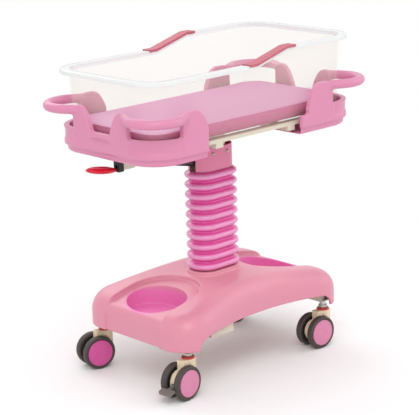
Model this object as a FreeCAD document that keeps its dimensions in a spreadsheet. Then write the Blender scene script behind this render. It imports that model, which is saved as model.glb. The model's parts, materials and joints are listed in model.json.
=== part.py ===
import FreeCAD, Part
import math
import os

import Sketcher
from FreeCAD import Placement, Rotation, Vector

# A hospital bassinet on a gas-lift column.
# Frame: the floor is z = 0, the column stands on the z axis, the bed is long in x
# (foot end at -x, head end at +x) and its long sides face -y and +y. Millimetres.

SIZES = {
    # casters, measured from the stem; the wheels trail towards -x
    "wheel_dia": 94.0,
    "tyre_width": 19.5,
    "tyre_depth": 9.5,
    "tyre_bevel": 5.0,
    "wheel_gap": 26.0,
    "hub_proud": 2.0,
    "hub_edge": 3.0,
    "axle_dia": 8.0,
    "running_clearance": 0.05,
    "caster_trail": 32.0,
    "hood_dia": 61.0,
    "hood_clearance": 1.0,
    "neck_dia": 36.0,
    "neck_top": 104.0,
    "neck_drop": 44.0,
    "ring_height": 5.0,
    "stem_dia": 18.0,
    "stem_rise": 21.0,
    "stem_depth": 26.0,
    "thread_dia": 12.0,
    "caster_x": 265.0,
    "caster_y": 172.0,
    "yaw_foot_near": 6.0,
    "yaw_foot_far": -14.0,
    "yaw_head_near": -3.0,
    "yaw_head_far": 0.0,
    # brake pedals
    "pedal_width": 44.0,
    "pedal_length": 24.0,
    "pedal_thickness": 6.0,
    "pedal_reach": 48.0,
    "pedal_slope": 13.0,
    "pedal_arm_width": 11.0,
    "pedal_pin_dia": 4.0,
    "pedal_barrel_dia": 14.0,
    "pedal_pivot_reach": 30.0,
    # chassis
    "crossbar_width": 36.0,
    "crossbar_height": 30.0,
    "crossbar_wall": 3.0,
    "crossbar_length": 368.0,
    "spine_width": 80.0,
    "spine_wall": 4.0,
    "bracket_left": -185.0,
    "bracket_width": 83.0,
    "bracket_height": 42.0,
    "bracket_sheet": 3.0,
    "bracket_bottom_rise": 8.0,
    "bracket_wall_gap": 0.4,
    "bracket_screw_dia": 6.0,
    # base cover
    "cover_overhang": 3.0,
    "cover_length": 626.0,
    "cover_width": 432.0,
    "cover_corner_radius": 78.0,
    "cover_waist": 34.0,
    "cover_height": 127.0,
    "cover_crown": 44.0,
    "cover_shoulder": 58.0,
    "cover_wall": 4.0,
    "panel_depth": 5.0,
    "panel_top_drop": 13.0,
    "panel_half_width": 112.0,
    "panel_centre": 205.0,
    "panel_shoulder": 30.0,
    "arch_half_length": 258.0,
    "arch_height": 38.5,
    "arch_corner_length": 48.0,
    "arch_corner_height": 35.5,
    "seat_rise": 10.0,
    "seat_margin": 2.0,
    "bowl_centre": 218.0,
    "bowl_half_length": 80.0,
    "bowl_half_width": 100.0,
    "bowl_taper": 12.0,
    "bowl_floor_drop": 76.0,
    "cover_rib": 6.0,
    # column
    "flange_length": 200.0,
    "flange_width": 76.0,
    "flange_thickness": 8.0,
    "flange_bolt_x": 80.0,
    "flange_bolt_y": 26.0,
    "flange_bolt_dia": 8.0,
    "outer_tube_length": 80.0,
    "outer_tube_width": 54.0,
    "tube_wall": 3.0,
    "outer_tube_height": 272.0,
    "inner_tube_length": 70.0,
    "inner_tube_width": 44.0,
    "inner_tube_height": 246.0,
    "bush_depth": 24.0,
    "bush_rim": 3.0,
    "lift_cylinder_dia": 28.0,
    "lift_cylinder_wall": 2.5,
    "lift_cylinder_height": 226.0,
    "lift_rod_dia": 10.0,
    "lift_rod_height": 238.0,
    "piston_height": 12.0,
    # bellows and sleeve
    "sleeve_half_length": 69.0,
    "sleeve_half_width": 41.0,
    "sleeve_screw_drop": 17.8,
    "sleeve_screw_inset": 15.0,
    "sleeve_wall": 3.0,
    "sleeve_height": 66.0,
    "sleeve_notch_width": 24.0,
    "sleeve_notch_height": 50.0,
    "bellows_height": 284.0,
    "bellows_rings": 10.0,
    "ring_depth": 11.5,
    "ring_thickness": 16.5,
    "ring_lead": 12.4,
    # head of the column, tilt pivot and tilt gas spring
    "head_plate_gap": 2.0,
    "head_plate": 6.0,
    "head_clearance": 0.3,
    "lug_width": 36.0,
    "lug_thickness": 5.0,
    "lug_inner": 20.0,
    "lug_over_pivot": 16.0,
    "tab_length": 84.0,
    "tab_height": 60.0,
    "pivot_rise": 76.0,
    "pivot_dia": 12.0,
    "pivot_head_dia": 15.0,
    "pivot_head_depth": 4.0,
    "anchor_rise": 11.0,
    "anchor_x": -5.0,
    "anchor_dia": 8.0,
    "spring_end_x": -290.0,
    "spring_end_drop": 4.0,
    "spring_dia": 18.0,
    "spring_gland": 5.0,
    "spring_wall": 2.5,
    "spring_cylinder_length": 168.0,
    "spring_rod_dia": 8.0,
    "spring_piston_from_anchor": 110.0,
    "spring_eye_dia": 14.0,
    "spring_eye_width": 10.0,
    "spring_pin_dia": 6.0,
    "open_pivot_clearance": 1.5,
    # deck
    "cradle_rise": 26.0,
    "cradle_plate": 4.0,
    "cradle_half_width": 32.0,
    "cradle_foot_reach": 330.0,
    "cradle_head_reach": 152.0,
    "cheek_half_length": 29.0,
    "cheek_inner": 28.0,
    "cheek_below_pivot": 14.0,
    "deck_crossbar_x": 136.0,
    "deck_crossbar_width": 26.0,
    "deck_crossbar_height": 14.0,
    "deck_rail_height": 10.0,
    "deck_rail_width": 26.0,
    "deck_rail_inset": 28.5,
    "deck_rail_length": 600.0,
    "deck_tube_wall": 2.0,
    # end trays
    "tray_length": 780.0,
    "tray_width": 425.0,
    "tray_radius": 100.0,
    "foot_tray_inner_end": 198.0,
    "head_tray_inner_end": 152.0,
    "foot_post_start": 193.0,
    "head_post_start": 178.0,
    "tray_wall": 16.0,
    "tray_drop": 37.0,
    "tray_tier_height": 19.0,
    "tray_tier_inset": 8.0,
    "tray_bottom_round": 8.0,
    "tray_floor": 4.0,
    "tray_side_height": 70.0,
    "tray_low_height": 53.0,
    "tray_post_height": 135.0,
    "tray_opening_half_width": 60.0,
    "tray_opening_end": 336.0,
    "facet_corner_gap": 3.0,
    "facet_depth": 3.0,
    "facet_bottom": 34.0,
    "facet_top": 64.0,
    "bead_dia": 24.0,
    "bead_drop": 12.0,
    "bead_proud": 2.0,
    "foot_post_end": 288.0,
    "head_post_end": 276.0,
    "post_shoulder_run": 20.0,
    "post_shoulder_tail": 7.0,
    "post_lean": 46.0,
    "short_post_start": 36.0,
    "short_post_end": 108.0,
    "grip_dia": 26.0,
    "grip_height": 121.0,
    "grip_stand_out_x": 20.0,
    "grip_stand_out_y": 19.5,
    "grip_corner_radius": 70.0,
    "grip_straight": 4.0,
    "grip_flare_radius": 60.0,
    "tray_boss_dia": 18.0,
    "tray_boss_inner_x": 225.0,
    "tray_boss_outer_x": 280.0,
    "tray_screw_dia": 5.0,
    "tray_screw_head_dia": 10.0,
    "tray_screw_head_depth": 3.0,
    # release lever
    "lever_y": 20.0,
    "lever_pivot_x": -280.0,
    "lever_pivot_drop": 24.0,
    "lever_pin_dia": 5.0,
    "lever_barrel_dia": 12.0,
    "lever_barrel_width": 9.4,
    "lever_rod_dia": 6.0,
    "lever_rod_reach": 62.0,
    "paddle_tip_x": -422.0,
    "paddle_width": 48.0,
    "paddle_thickness": 20.0,
    "paddle_slope": 9.0,
    "paddle_cup": 6.0,
    "paddle_root_reach": 17.0,
    "paddle_socket_length": 18.0,
    "paddle_socket_start": 19.0,
    "lever_cheek": 3.0,
    "lever_bracket_length": 41.0,
    "lever_bracket_below": 4.0,
    "lever_housing_length": 18.0,
    "lever_housing_width": 20.0,
    "lever_slot_height": 16.0,
    # basin and mattress
    "basin_end_gap": 16.0,
    "basin_side_gap": 16.5,
    "basin_radius": 54.0,
    "basin_flare": 10.0,
    "basin_wall": 4.0,
    "basin_low_height": 182.0,
    "basin_high_height": 214.0,
    "basin_step_start": -18.0,
    "basin_step_end": 97.0,
    "basin_base_round": 14.0,
    "rim_width": 24.0,
    "rim_thickness": 11.0,
    "strip_start": -46.0,
    "strip_end": 130.0,
    "strip_thickness": 3.5,
    "strip_skirt": 4.0,
    "mattress_clearance": 1.0,
    "mattress_thickness": 41.0,
    "mattress_edge": 6.0,
    "soft_clearance": 0.3,
}

# Heights and reaches that follow from the sizes.
PLACES = {
    "wheel_radius": "wheel_dia / 2",
    "hub_radius": "wheel_radius - tyre_depth",
    "frame_bottom": "neck_top + ring_height + stem_rise",
    "frame_top": "frame_bottom + crossbar_height",
    "cover_bottom": "frame_bottom - cover_overhang",
    "cover_top": "cover_bottom + cover_height",
    "seat_top": "cover_top + seat_rise",
    "tube_foot": "frame_top + flange_thickness",
    "sleeve_bottom": "seat_top + bellows_height",
    "sleeve_top": "sleeve_bottom + sleeve_height",
    "head_bottom": "sleeve_bottom - head_plate - head_plate_gap",
    "head_top": "head_bottom + head_plate",
    "pivot_z": "sleeve_bottom + pivot_rise",
    "anchor_z": "sleeve_bottom + anchor_rise",
    "spring_end_z": "pivot_z - spring_end_drop",
    "cradle_bottom": "pivot_z + cradle_rise",
    "cradle_top": "cradle_bottom + cradle_plate",
    "deck_rail_bottom": "cradle_top + deck_crossbar_height",
    "deck_top": "deck_rail_bottom + deck_rail_height",
    "tray_bottom": "deck_top - tray_drop",
    "lever_pivot_z": "pivot_z - lever_pivot_drop",
    "basin_bottom": "deck_top + soft_clearance",
    "basin_length": "tray_length - 2 * tray_wall - 2 * basin_end_gap",
    "basin_width": "tray_width - 2 * tray_wall - 2 * basin_side_gap",
    "deck_rail_outer": "tray_width / 2 - deck_rail_inset",
    "grip_reach_x": "tray_length / 2 + grip_stand_out_x",
    "grip_reach_y": "tray_width / 2 + grip_stand_out_y",
    "mattress_bottom": "basin_bottom + basin_wall + soft_clearance",
}

NUMBER = {}
doc = FreeCAD.newDocument("bassinet")
sheet = doc.addObject("Spreadsheet::Sheet", "Sizes")
places = doc.addObject("App::VarSet", "Places")


def spelled(text):
    """The expression with each size and place named in full."""
    words, word = [], ""
    for letter in text + " ":
        if letter.isalnum() or letter == "_":
            word += letter
            continue
        if word in SIZES:
            word = "Sizes." + word
        elif word in PLACES:
            word = "Places." + word
        words.append(word + letter)
        word = ""
    return "".join(words).strip()


def fill_sheet():
    for row, (name, value) in enumerate(SIZES.items(), start=1):
        sheet.set(f"A{row}", name)
        sheet.set(f"B{row}", str(value))
        sheet.setAlias(f"B{row}", name)
    doc.recompute()
    for name, formula in PLACES.items():
        places.addProperty("App::PropertyFloat", name)
        places.setExpression(name, spelled(formula))
    doc.recompute()
    for name in SIZES:
        NUMBER[name] = float(sheet.get(name))
    for name in PLACES:
        NUMBER[name] = float(places.getPropertyByName(name))


class Numbers:
    """n.cover_top reads the current value of a size or a place."""

    def __getattr__(self, name):
        return NUMBER[name]


n = Numbers()
NODES = {}


def keep(name, obj):
    """Takes obj as the finished sub-part called name."""
    obj.Label = name
    NODES[name] = obj
    return obj


def feature(name, shape):
    """A sub-part whose shape is worked out with Part's own functions."""
    place = shape.Placement
    obj = doc.addObject("Part::Feature", name)
    obj.Shape = shape
    obj.Placement = place
    return obj


# ---- parametric helpers: primitives, booleans and sketches ----


def bind(obj, **properties):
    for name, text in properties.items():
        obj.setExpression(name.replace("__", "."), spelled(text))
    return obj


def at(obj, x="0", y="0", z="0"):
    return bind(obj, Placement__Base__x=x, Placement__Base__y=y, Placement__Base__z=z)


def box(name, x, y, z, length, width, height):
    """A block from its lowest corner."""
    block = doc.addObject("Part::Box", name)
    bind(block, Length=length, Width=width, Height=height)
    return at(block, x, y, z)


def rod(name, radius, height, x="0", y="0", z="0", axis=Vector(0, 0, 1)):
    """A cylinder from the centre of its first end, along axis."""
    cylinder = doc.addObject("Part::Cylinder", name)
    bind(cylinder, Radius=radius, Height=height)
    cylinder.Placement = Placement(Vector(), Rotation(Vector(0, 0, 1), axis))
    return at(cylinder, x, y, z)


def cut(name, base, tool):
    result = doc.addObject("Part::Cut", name)
    result.Base, result.Tool = base, tool
    return result


def fuse(name, *parts):
    result = doc.addObject("Part::MultiFuse", name)
    result.Shapes = list(parts)
    return result


def group(name, *parts):
    result = doc.addObject("Part::Compound", name)
    result.Links = list(parts)
    return result


def mirrored(name, source, normal):
    result = doc.addObject("Part::Mirroring", name)
    result.Source, result.Normal = source, normal
    return result


def origin_plane(body, role):
    for item in body.Origin.OriginFeatures:
        if item.Role == role:
            return item
    raise ValueError(role)


def new_body(name):
    return doc.addObject("PartDesign::Body", name)


def profile(body, plane, points):
    """A closed polygon sketch on one of the body's planes, each corner bound to the sizes."""
    sketch = body.newObject("Sketcher::SketchObject", body.Name + "_sketch")
    sketch.AttachmentSupport = (origin_plane(body, plane), [""])
    sketch.MapMode = "FlatFace"
    count = len(points)
    corners = [Vector(math.cos(2 * math.pi * k / count), math.sin(2 * math.pi * k / count), 0)
               for k in range(count)]
    for k in range(count):
        sketch.addGeometry(Part.LineSegment(corners[k], corners[(k + 1) % count]), False)
    for k in range(count):
        sketch.addConstraint(Sketcher.Constraint("Coincident", k, 2, (k + 1) % count, 1))
    for k, (across, along) in enumerate(points):
        for kind, text, start in (("DistanceX", across, corners[k].x), ("DistanceY", along, corners[k].y)):
            index = sketch.addConstraint(Sketcher.Constraint(kind, -1, 1, k, 1, start))
            sketch.setExpression(f"Constraints[{index}]", spelled(text))
    return sketch


def pad(name, plane, points, length):
    """A prism, centred on its sketch plane."""
    body = new_body(name)
    sketch = profile(body, plane, points)
    prism = body.newObject("PartDesign::Pad", name + "_pad")
    prism.Profile = sketch
    prism.Midplane = True
    bind(prism, Length=length)
    return body


def turned(name, plane, points):
    """A body turned about its sketch's upright axis: each point is radius, height."""
    body = new_body(name)
    sketch = profile(body, plane, points)
    turn = body.newObject("PartDesign::Revolution", name + "_turn")
    turn.Profile = sketch
    turn.ReferenceAxis = (sketch, ["V_Axis"])
    turn.Angle = 360
    return body


# ---- shape helpers for the moulded pieces ----


def rounded_wire(half_x, half_y, radius, z):
    """A rectangle with round corners, at height z."""
    cx, cy = half_x - radius, half_y - radius
    edges = []
    for sx, sy, start in ((1, 1, 0), (-1, 1, 90), (-1, -1, 180), (1, -1, 270)):
        bow = [Vector(sx * cx + radius * math.cos(math.radians(start + turn)),
                      sy * cy + radius * math.sin(math.radians(start + turn)), z)
               for turn in (0, 45, 90)]
        edges.append(Part.Arc(*bow).toShape())
    wire = []
    for arc, following in zip(edges, edges[1:] + edges[:1]):
        wire.append(arc)
        wire.append(Part.makeLine(arc.lastVertex(True).Point, following.firstVertex(True).Point))
    return Part.Wire(wire)


def rounded_prism(half_x, half_y, radius, bottom, top):
    face = Part.Face(rounded_wire(half_x, half_y, radius, bottom))
    return face.extrude(Vector(0, 0, top - bottom))


def stadium_wire(half_length, half_width, z):
    """Two half circles joined by straight sides, long in x."""
    c = half_length - half_width
    right = Part.Arc(Vector(c, -half_width, z), Vector(half_length, 0, z), Vector(c, half_width, z))
    left = Part.Arc(Vector(-c, half_width, z), Vector(-half_length, 0, z), Vector(-c, -half_width, z))
    return Part.Wire([
        right.toShape(),
        Part.makeLine(Vector(c, half_width, z), Vector(-c, half_width, z)),
        left.toShape(),
        Part.makeLine(Vector(-c, -half_width, z), Vector(c, -half_width, z)),
    ])


def stadium_prism(half_length, half_width, bottom, top):
    return Part.Face(stadium_wire(half_length, half_width, bottom)).extrude(Vector(0, 0, top - bottom))


def slab_xz(points, half_y):
    """A polygon in x and z, as thick as 2 half_y about y = 0."""
    wire = Part.makePolygon([Vector(x, -half_y, z) for x, z in points + points[:1]])
    return Part.Face(wire).extrude(Vector(0, 2 * half_y, 0))


def slab_yz(points, start_x, end_x):
    """A polygon in y and z, from start_x to end_x."""
    wire = Part.makePolygon([Vector(start_x, y, z) for y, z in points + points[:1]])
    return Part.Face(wire).extrude(Vector(end_x - start_x, 0, 0))


def block(x0, x1, y0, y1, z0, z1):
    return Part.makeBox(x1 - x0, y1 - y0, z1 - z0, Vector(x0, y0, z0))


def flipped(shape):
    """The same shape turned end for end in x."""
    return shape.mirror(Vector(), Vector(1, 0, 0))


# ---- casters ----

CASTERS = (
    ("foot_near", -1, -1, "yaw_foot_near"),
    ("foot_far", -1, 1, "yaw_foot_far"),
    ("head_near", 1, -1, "yaw_head_near"),
    ("head_far", 1, 1, "yaw_head_far"),
)
BRAKED = ("foot_near", "head_far")


def caster_place(sx, sy, yaw):
    """From a caster's own frame, stem axis at its origin, to the bassinet's."""
    stem = Vector(sx * n.caster_x, sy * n.caster_y, 0)
    return Placement(stem, Rotation(Vector(0, 0, 1), yaw))


def twin(name, single, place):
    """Both of a caster's wheels: the one at +y and its mirror image, on the axle."""
    pair = group(name, single, mirrored(name + "_other", single, Vector(0, 1, 0)))
    axle = Placement(Vector(-n.caster_trail, 0, n.wheel_radius), Rotation())
    pair.Placement = place.multiply(axle)
    return keep(name, pair)


def tyres(name, place):
    inner, outer = "wheel_gap / 2", "wheel_gap / 2 + tyre_width"
    section = [
        ("hub_radius", inner),
        ("wheel_radius - tyre_bevel", inner),
        ("wheel_radius", inner + " + tyre_bevel"),
        ("wheel_radius", outer + " - tyre_bevel"),
        ("wheel_radius - tyre_bevel", outer),
        ("hub_radius", outer),
    ]
    twin(name, turned(name + "_one", "XY_Plane", section), place)


def hubs(name, place):
    inner, outer = "wheel_gap / 2 + hub_proud", "wheel_gap / 2 + tyre_width + hub_proud"
    section = [
        ("axle_dia / 2 + running_clearance", inner),
        ("hub_radius", inner),
        ("hub_radius", outer + " - hub_proud"),
        ("hub_radius - hub_edge", outer),
        ("0", outer),
        ("0", outer + " - hub_edge"),
        ("axle_dia / 2 + running_clearance", outer + " - hub_edge"),
    ]
    twin(name, turned(name + "_one", "XY_Plane", section), place)


def axle(name, place):
    half = "wheel_gap / 2 + tyre_width - hub_edge"
    pin = rod(name + "_pin", "axle_dia / 2", "2 * (" + half + ")", "-caster_trail",
              "-(" + half + ")", "wheel_radius", Vector(0, 1, 0))
    whole = group(name, pin)
    whole.Placement = place
    keep(name, whole)


def hood(name, place, braked):
    """The beige body between the wheels, with the neck that turns on the stem."""
    y_axis = Vector(0, 1, 0)
    half = "wheel_gap / 2 - hood_clearance"
    disc = rod(name + "_disc", "hood_dia / 2", "2 * (" + half + ")", "-caster_trail",
               "-(" + half + ")", "wheel_radius", y_axis)
    web = box(name + "_web", "-caster_trail", "-(" + half + ")", "wheel_radius",
              "caster_trail + neck_dia / 2", "2 * (" + half + ")", "neck_top - wheel_radius")
    neck = rod(name + "_neck", "neck_dia / 2", "neck_drop", z="neck_top - neck_drop")
    wheel_room = []
    for side, start in (("near", "-(wheel_gap / 2 + tyre_width)"), ("far", half)):
        wheel_room.append(rod(f"{name}_{side}_room", "wheel_radius + hood_clearance",
                              "tyre_width + hood_clearance", "-caster_trail", start,
                              "wheel_radius", y_axis))
    round_neck = cut(name + "_round_neck", neck, fuse(name + "_room", *wheel_room))
    above = rod(name + "_above", "wheel_dia", "wheel_gap * 2", "-caster_trail", "-wheel_gap",
                "neck_top + wheel_dia", y_axis)
    stem_bore = rod(name + "_stem_bore", "stem_dia / 2 + running_clearance", "stem_depth",
                    z="neck_top - stem_depth")
    axle_bore = rod(name + "_axle_bore", "axle_dia / 2", "4 * (" + half + ")", "-caster_trail",
                    "-2 * (" + half + ")", "wheel_radius", y_axis)
    tools = [above, stem_bore, axle_bore]
    if braked:
        tools.append(pedal_room(name))
    solid = cut(name, fuse(name + "_sum", disc, web, round_neck), fuse(name + "_tools", *tools))
    if braked:
        solid = fuse(name + "_pinned", solid, pedal_pin(name))
    solid.Placement = place
    keep(name, solid)


def pedal_pivot():
    """The pedal's pin, behind the axle and a little below it, in the caster's frame."""
    reach, slope = n.pedal_pivot_reach, math.radians(n.pedal_slope)
    return (-n.caster_trail - reach * math.cos(slope), n.wheel_radius - reach * math.sin(slope))


PIVOT_X = "(-caster_trail - pedal_pivot_reach * cos(pedal_slope * 1 deg))"
PIVOT_Z = "(wheel_radius - pedal_pivot_reach * sin(pedal_slope * 1 deg))"


def pedal_room(name):
    return rod(name + "_pedal_room", "pedal_barrel_dia / 2 + 1", "pedal_arm_width + 1", PIVOT_X,
               "-(pedal_arm_width + 1) / 2", PIVOT_Z, Vector(0, 1, 0))


def pedal_pin(name):
    return rod(name + "_pedal_pin", "pedal_pin_dia / 2", "wheel_gap - 2 * hood_clearance", PIVOT_X,
               "-(wheel_gap - 2 * hood_clearance) / 2", PIVOT_Z, Vector(0, 1, 0))


def pedal(name, place):
    """A broad tread plate behind the wheels, on an arm between them."""
    x, z = pedal_pivot()
    half_arm, half_plate = n.pedal_arm_width / 2, n.pedal_thickness / 2
    reach = n.pedal_reach - n.pedal_pivot_reach
    barrel = Part.makeCylinder(n.pedal_barrel_dia / 2, 2 * half_arm, Vector(0, -half_arm, 0),
                               Vector(0, 1, 0))
    arm = block(-reach - 2, 0, -half_arm, half_arm, -half_plate, half_plate)
    tread = block(-reach - n.pedal_length, -reach, -n.pedal_width / 2, n.pedal_width / 2,
                  -half_plate, half_plate)
    corners = [e for e in tread.Edges
               if abs(e.tangentAt(e.FirstParameter).z) > 0.9 and e.CenterOfMass.x < -reach - 1]
    tread = tread.makeFillet(n.pedal_length * 0.4, corners)
    bore = Part.makeCylinder(n.pedal_pin_dia / 2 + n.running_clearance, 4 * half_arm,
                             Vector(0, -2 * half_arm, 0), Vector(0, 1, 0))
    shape = barrel.fuse([arm, tread]).cut(bore).removeSplitter()
    shape.rotate(Vector(), Vector(0, 1, 0), -n.pedal_slope)
    shape.translate(Vector(x, 0, z))
    obj = feature(name, shape)
    obj.Placement = place.multiply(obj.Placement)
    keep(name, obj)


def neck_ring(name, place):
    bottom, top = "neck_top", "neck_top + ring_height"
    section = [
        ("stem_dia / 2 + 4 * running_clearance", bottom),
        ("neck_dia / 2", bottom),
        ("neck_dia / 2", top + " - ring_height / 3"),
        ("neck_dia / 2 - ring_height / 3", top),
        ("stem_dia / 2 + 4 * running_clearance", top),
    ]
    ring = turned(name, "XZ_Plane", section)
    ring.Placement = place
    keep(name, ring)


def stem(name, place):
    foot, shoulder = "neck_top - stem_depth + 1", "frame_bottom"
    section = [
        ("0", foot),
        ("stem_dia / 2", foot),
        ("stem_dia / 2", shoulder),
        ("thread_dia / 2", shoulder),
        ("thread_dia / 2", "frame_top"),
        ("0", "frame_top"),
    ]
    pin = turned(name, "XZ_Plane", section)
    pin.Placement = place
    keep(name, pin)


def make_casters():
    for corner, sx, sy, yaw in CASTERS:
        place = caster_place(sx, sy, NUMBER[yaw])
        braked = corner in BRAKED
        stem(f"caster_{corner}_stem", place)
        neck_ring(f"caster_{corner}_ring", place)
        hood(f"caster_{corner}_hood", place, braked)
        axle(f"caster_{corner}_axle", place)
        hubs(f"caster_{corner}_hubs", place)
        tyres(f"caster_{corner}_tyres", place)
        if braked:
            pedal(f"caster_{corner}_brake_pedal", place)


# ---- chassis ----


def chassis_crossbars():
    """Two square tubes, each carrying the stems of two casters."""
    bars = []
    for end, sx in (("foot", "-"), ("head", "")):
        outer = box(f"{end}_bar", f"{sx}caster_x - crossbar_width / 2", "-crossbar_length / 2",
                    "frame_bottom", "crossbar_width", "crossbar_length", "crossbar_height")
        inside = box(f"{end}_bar_inside", f"{sx}caster_x - crossbar_width / 2 + crossbar_wall",
                     "-crossbar_length", "frame_bottom + crossbar_wall",
                     "crossbar_width - 2 * crossbar_wall", "2 * crossbar_length",
                     "crossbar_height - 2 * crossbar_wall")
        bores = [rod(f"{end}_{side}_bore", "thread_dia / 2", "crossbar_height",
                     f"{sx}caster_x", f"{sy}caster_y", "frame_bottom")
                 for side, sy in (("near", "-"), ("far", ""))]
        bars.append(cut(f"{end}_crossbar", outer, fuse(f"{end}_bar_voids", inside, *bores)))
    keep("chassis_crossbars", group("chassis_crossbars", *bars))


def chassis_spine():
    """A channel along the middle, between the crossbars, that carries the column."""
    half, inner = "spine_width / 2", "(spine_width / 2 - spine_wall)"
    section = [
        ("-" + half, "frame_bottom"),
        ("-" + inner, "frame_bottom"),
        ("-" + inner, "frame_top - spine_wall"),
        (inner, "frame_top - spine_wall"),
        (inner, "frame_bottom"),
        (half, "frame_bottom"),
        (half, "frame_top"),
        ("-" + half, "frame_top"),
    ]
    keep("chassis_spine", pad("chassis_spine", "YZ_Plane", section, "2 * caster_x - crossbar_width"))


def cover_side_y(x):
    """Half the cover's width at x, on the hollow middle of its long side."""
    radius = waist_radius()
    return n.cover_width / 2 - n.cover_waist + radius - math.sqrt(radius ** 2 - x ** 2)


def side_bracket_faces():
    """The bracket's outer face, and its height range."""
    left, right = n.bracket_left, n.bracket_left + n.bracket_width
    inner_wall = min(cover_side_y(left), cover_side_y(right)) - n.cover_wall - n.panel_depth
    bottom = n.frame_bottom + n.bracket_bottom_rise
    return inner_wall - n.bracket_wall_gap, bottom, bottom + n.bracket_height


def side_brackets():
    """Two bent plates from the spine to the cover's long sides, on opposite corners."""
    outer_y, bottom, top = side_bracket_faces()
    left, right, sheet_metal = n.bracket_left, n.bracket_left + n.bracket_width, n.bracket_sheet
    plate = block(left, right, -outer_y, -outer_y + sheet_metal, bottom, top)
    arm = block(left, right, -outer_y, -n.spine_width / 2, bottom, bottom + sheet_metal)
    screw = Part.makeCylinder(n.bracket_screw_dia / 2, 3 * sheet_metal,
                              Vector((left + right) / 2, -outer_y - sheet_metal, (bottom + top) / 2),
                              Vector(0, 1, 0))
    near = plate.fuse(arm).cut(screw).removeSplitter()
    far = near.copy()
    far.rotate(Vector(), Vector(0, 0, 1), 180)
    keep("side_brackets", feature("side_brackets", Part.makeCompound([near, far])))


def bracket_screws():
    """Domed screws in the two brackets."""
    outer_y, bottom, top = side_bracket_faces()
    centre = Vector(n.bracket_left + n.bracket_width / 2, -outer_y, (bottom + top) / 2)
    inward = Vector(0, 1, 0)
    shank = Part.makeCylinder(n.bracket_screw_dia / 2, 3 * n.bracket_sheet, centre, inward)
    head = Part.makeCylinder(n.bracket_screw_dia, n.cover_wall, centre - inward * n.cover_wall, inward)
    near = head.fuse(shank)
    far = near.copy()
    far.rotate(Vector(), Vector(0, 0, 1), 180)
    keep("bracket_screws", feature("bracket_screws", Part.makeCompound([near, far])))


# ---- base cover ----


def waist_radius():
    """The hollow long side's radius, so that it runs tangent into the round corners."""
    corner = n.cover_corner_radius
    across = n.cover_length / 2 - corner
    gap = corner - n.cover_waist
    return (across ** 2 + gap ** 2 - corner ** 2) / (2 * (corner - gap))


def cover_outline(inset, z):
    """The cover's plan, moved in by inset: round corners, straight ends, waisted sides."""
    corner = n.cover_corner_radius
    cx, cy = n.cover_length / 2 - corner, n.cover_width / 2 - corner
    big = waist_radius()
    waist_centre = n.cover_width / 2 - n.cover_waist + big
    lean = math.atan2(waist_centre - cy, cx)
    meet = math.pi - lean
    radius, hollow = corner - inset, big + inset

    def on_corner(sx, sy, angle):
        return Vector(sx * (cx + radius * math.cos(angle)), sy * (cy + radius * math.sin(angle)), z)

    edges = []
    for sy in (-1, 1):
        ends = {sx: on_corner(sx, sy, meet) for sx in (-1, 1)}
        middle = Vector(0, sy * (waist_centre - hollow), z)
        edges.append(Part.Arc(ends[-1], middle, ends[1]).toShape())
        for sx in (-1, 1):
            edges.append(Part.Arc(on_corner(sx, sy, 0), on_corner(sx, sy, meet / 2),
                                  ends[sx]).toShape())
    for sx in (-1, 1):
        edges.append(Part.makeLine(on_corner(sx, -1, 0), on_corner(sx, 1, 0)))
    return Part.Wire(Part.__sortEdges__(edges))


def cover_solid(inset, bottom, shoulder, drop=0):
    """The cover's full outer form, moved in by inset, with its crowned top and soft shoulder."""
    top, end = n.cover_top - inset - drop, n.cover_length / 2
    walls = Part.Face(cover_outline(inset, bottom)).extrude(Vector(0, 0, top - bottom + 1))
    crown = Part.Arc(Vector(-end, -end, top - n.cover_crown), Vector(0, -end, top),
                     Vector(end, -end, top - n.cover_crown)).toShape()
    low_left, low_right = Vector(-end, -end, bottom - 1), Vector(end, -end, bottom - 1)
    sides = [
        crown,
        Part.makeLine(Vector(end, -end, top - n.cover_crown), low_right),
        Part.makeLine(low_right, low_left),
        Part.makeLine(low_left, Vector(-end, -end, top - n.cover_crown)),
    ]
    under_crown = Part.Face(Part.Wire(sides)).extrude(Vector(0, 2 * end, 0))
    form = walls.common(under_crown)
    rim = [e for e in form.Edges
           if e.BoundBox.ZMin > top - n.cover_crown - 2 * n.cover_wall and e.BoundBox.ZLength < n.cover_crown]
    return form.makeFillet(shoulder - inset, rim)


def end_panel(inset, bottom, top):
    """The slot-shaped region of an end panel at +x: it runs up the end and round the bowl."""
    half, centre = n.panel_half_width - inset, n.panel_centre
    far = n.cover_length
    straight = block(centre, far, -half, half, bottom, top)
    return straight.fuse(Part.makeCylinder(half, top - bottom, Vector(centre, 0, bottom)))


def bowl(growth, floor, top):
    """A bowl at +x: an oval that narrows towards its floor."""
    wires = []
    for height, taper in ((floor, n.bowl_taper), (top, 0)):
        along = n.bowl_half_length + growth - taper
        across = n.bowl_half_width + growth - taper
        oval = Part.Ellipse(Vector(0, across, 0), Vector(-along, 0, 0), Vector())
        edge = oval.toShape()
        edge.translate(Vector(n.bowl_centre, 0, height))
        wires.append(Part.Wire([edge]))
    return Part.makeLoft(wires, True, True)


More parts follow.
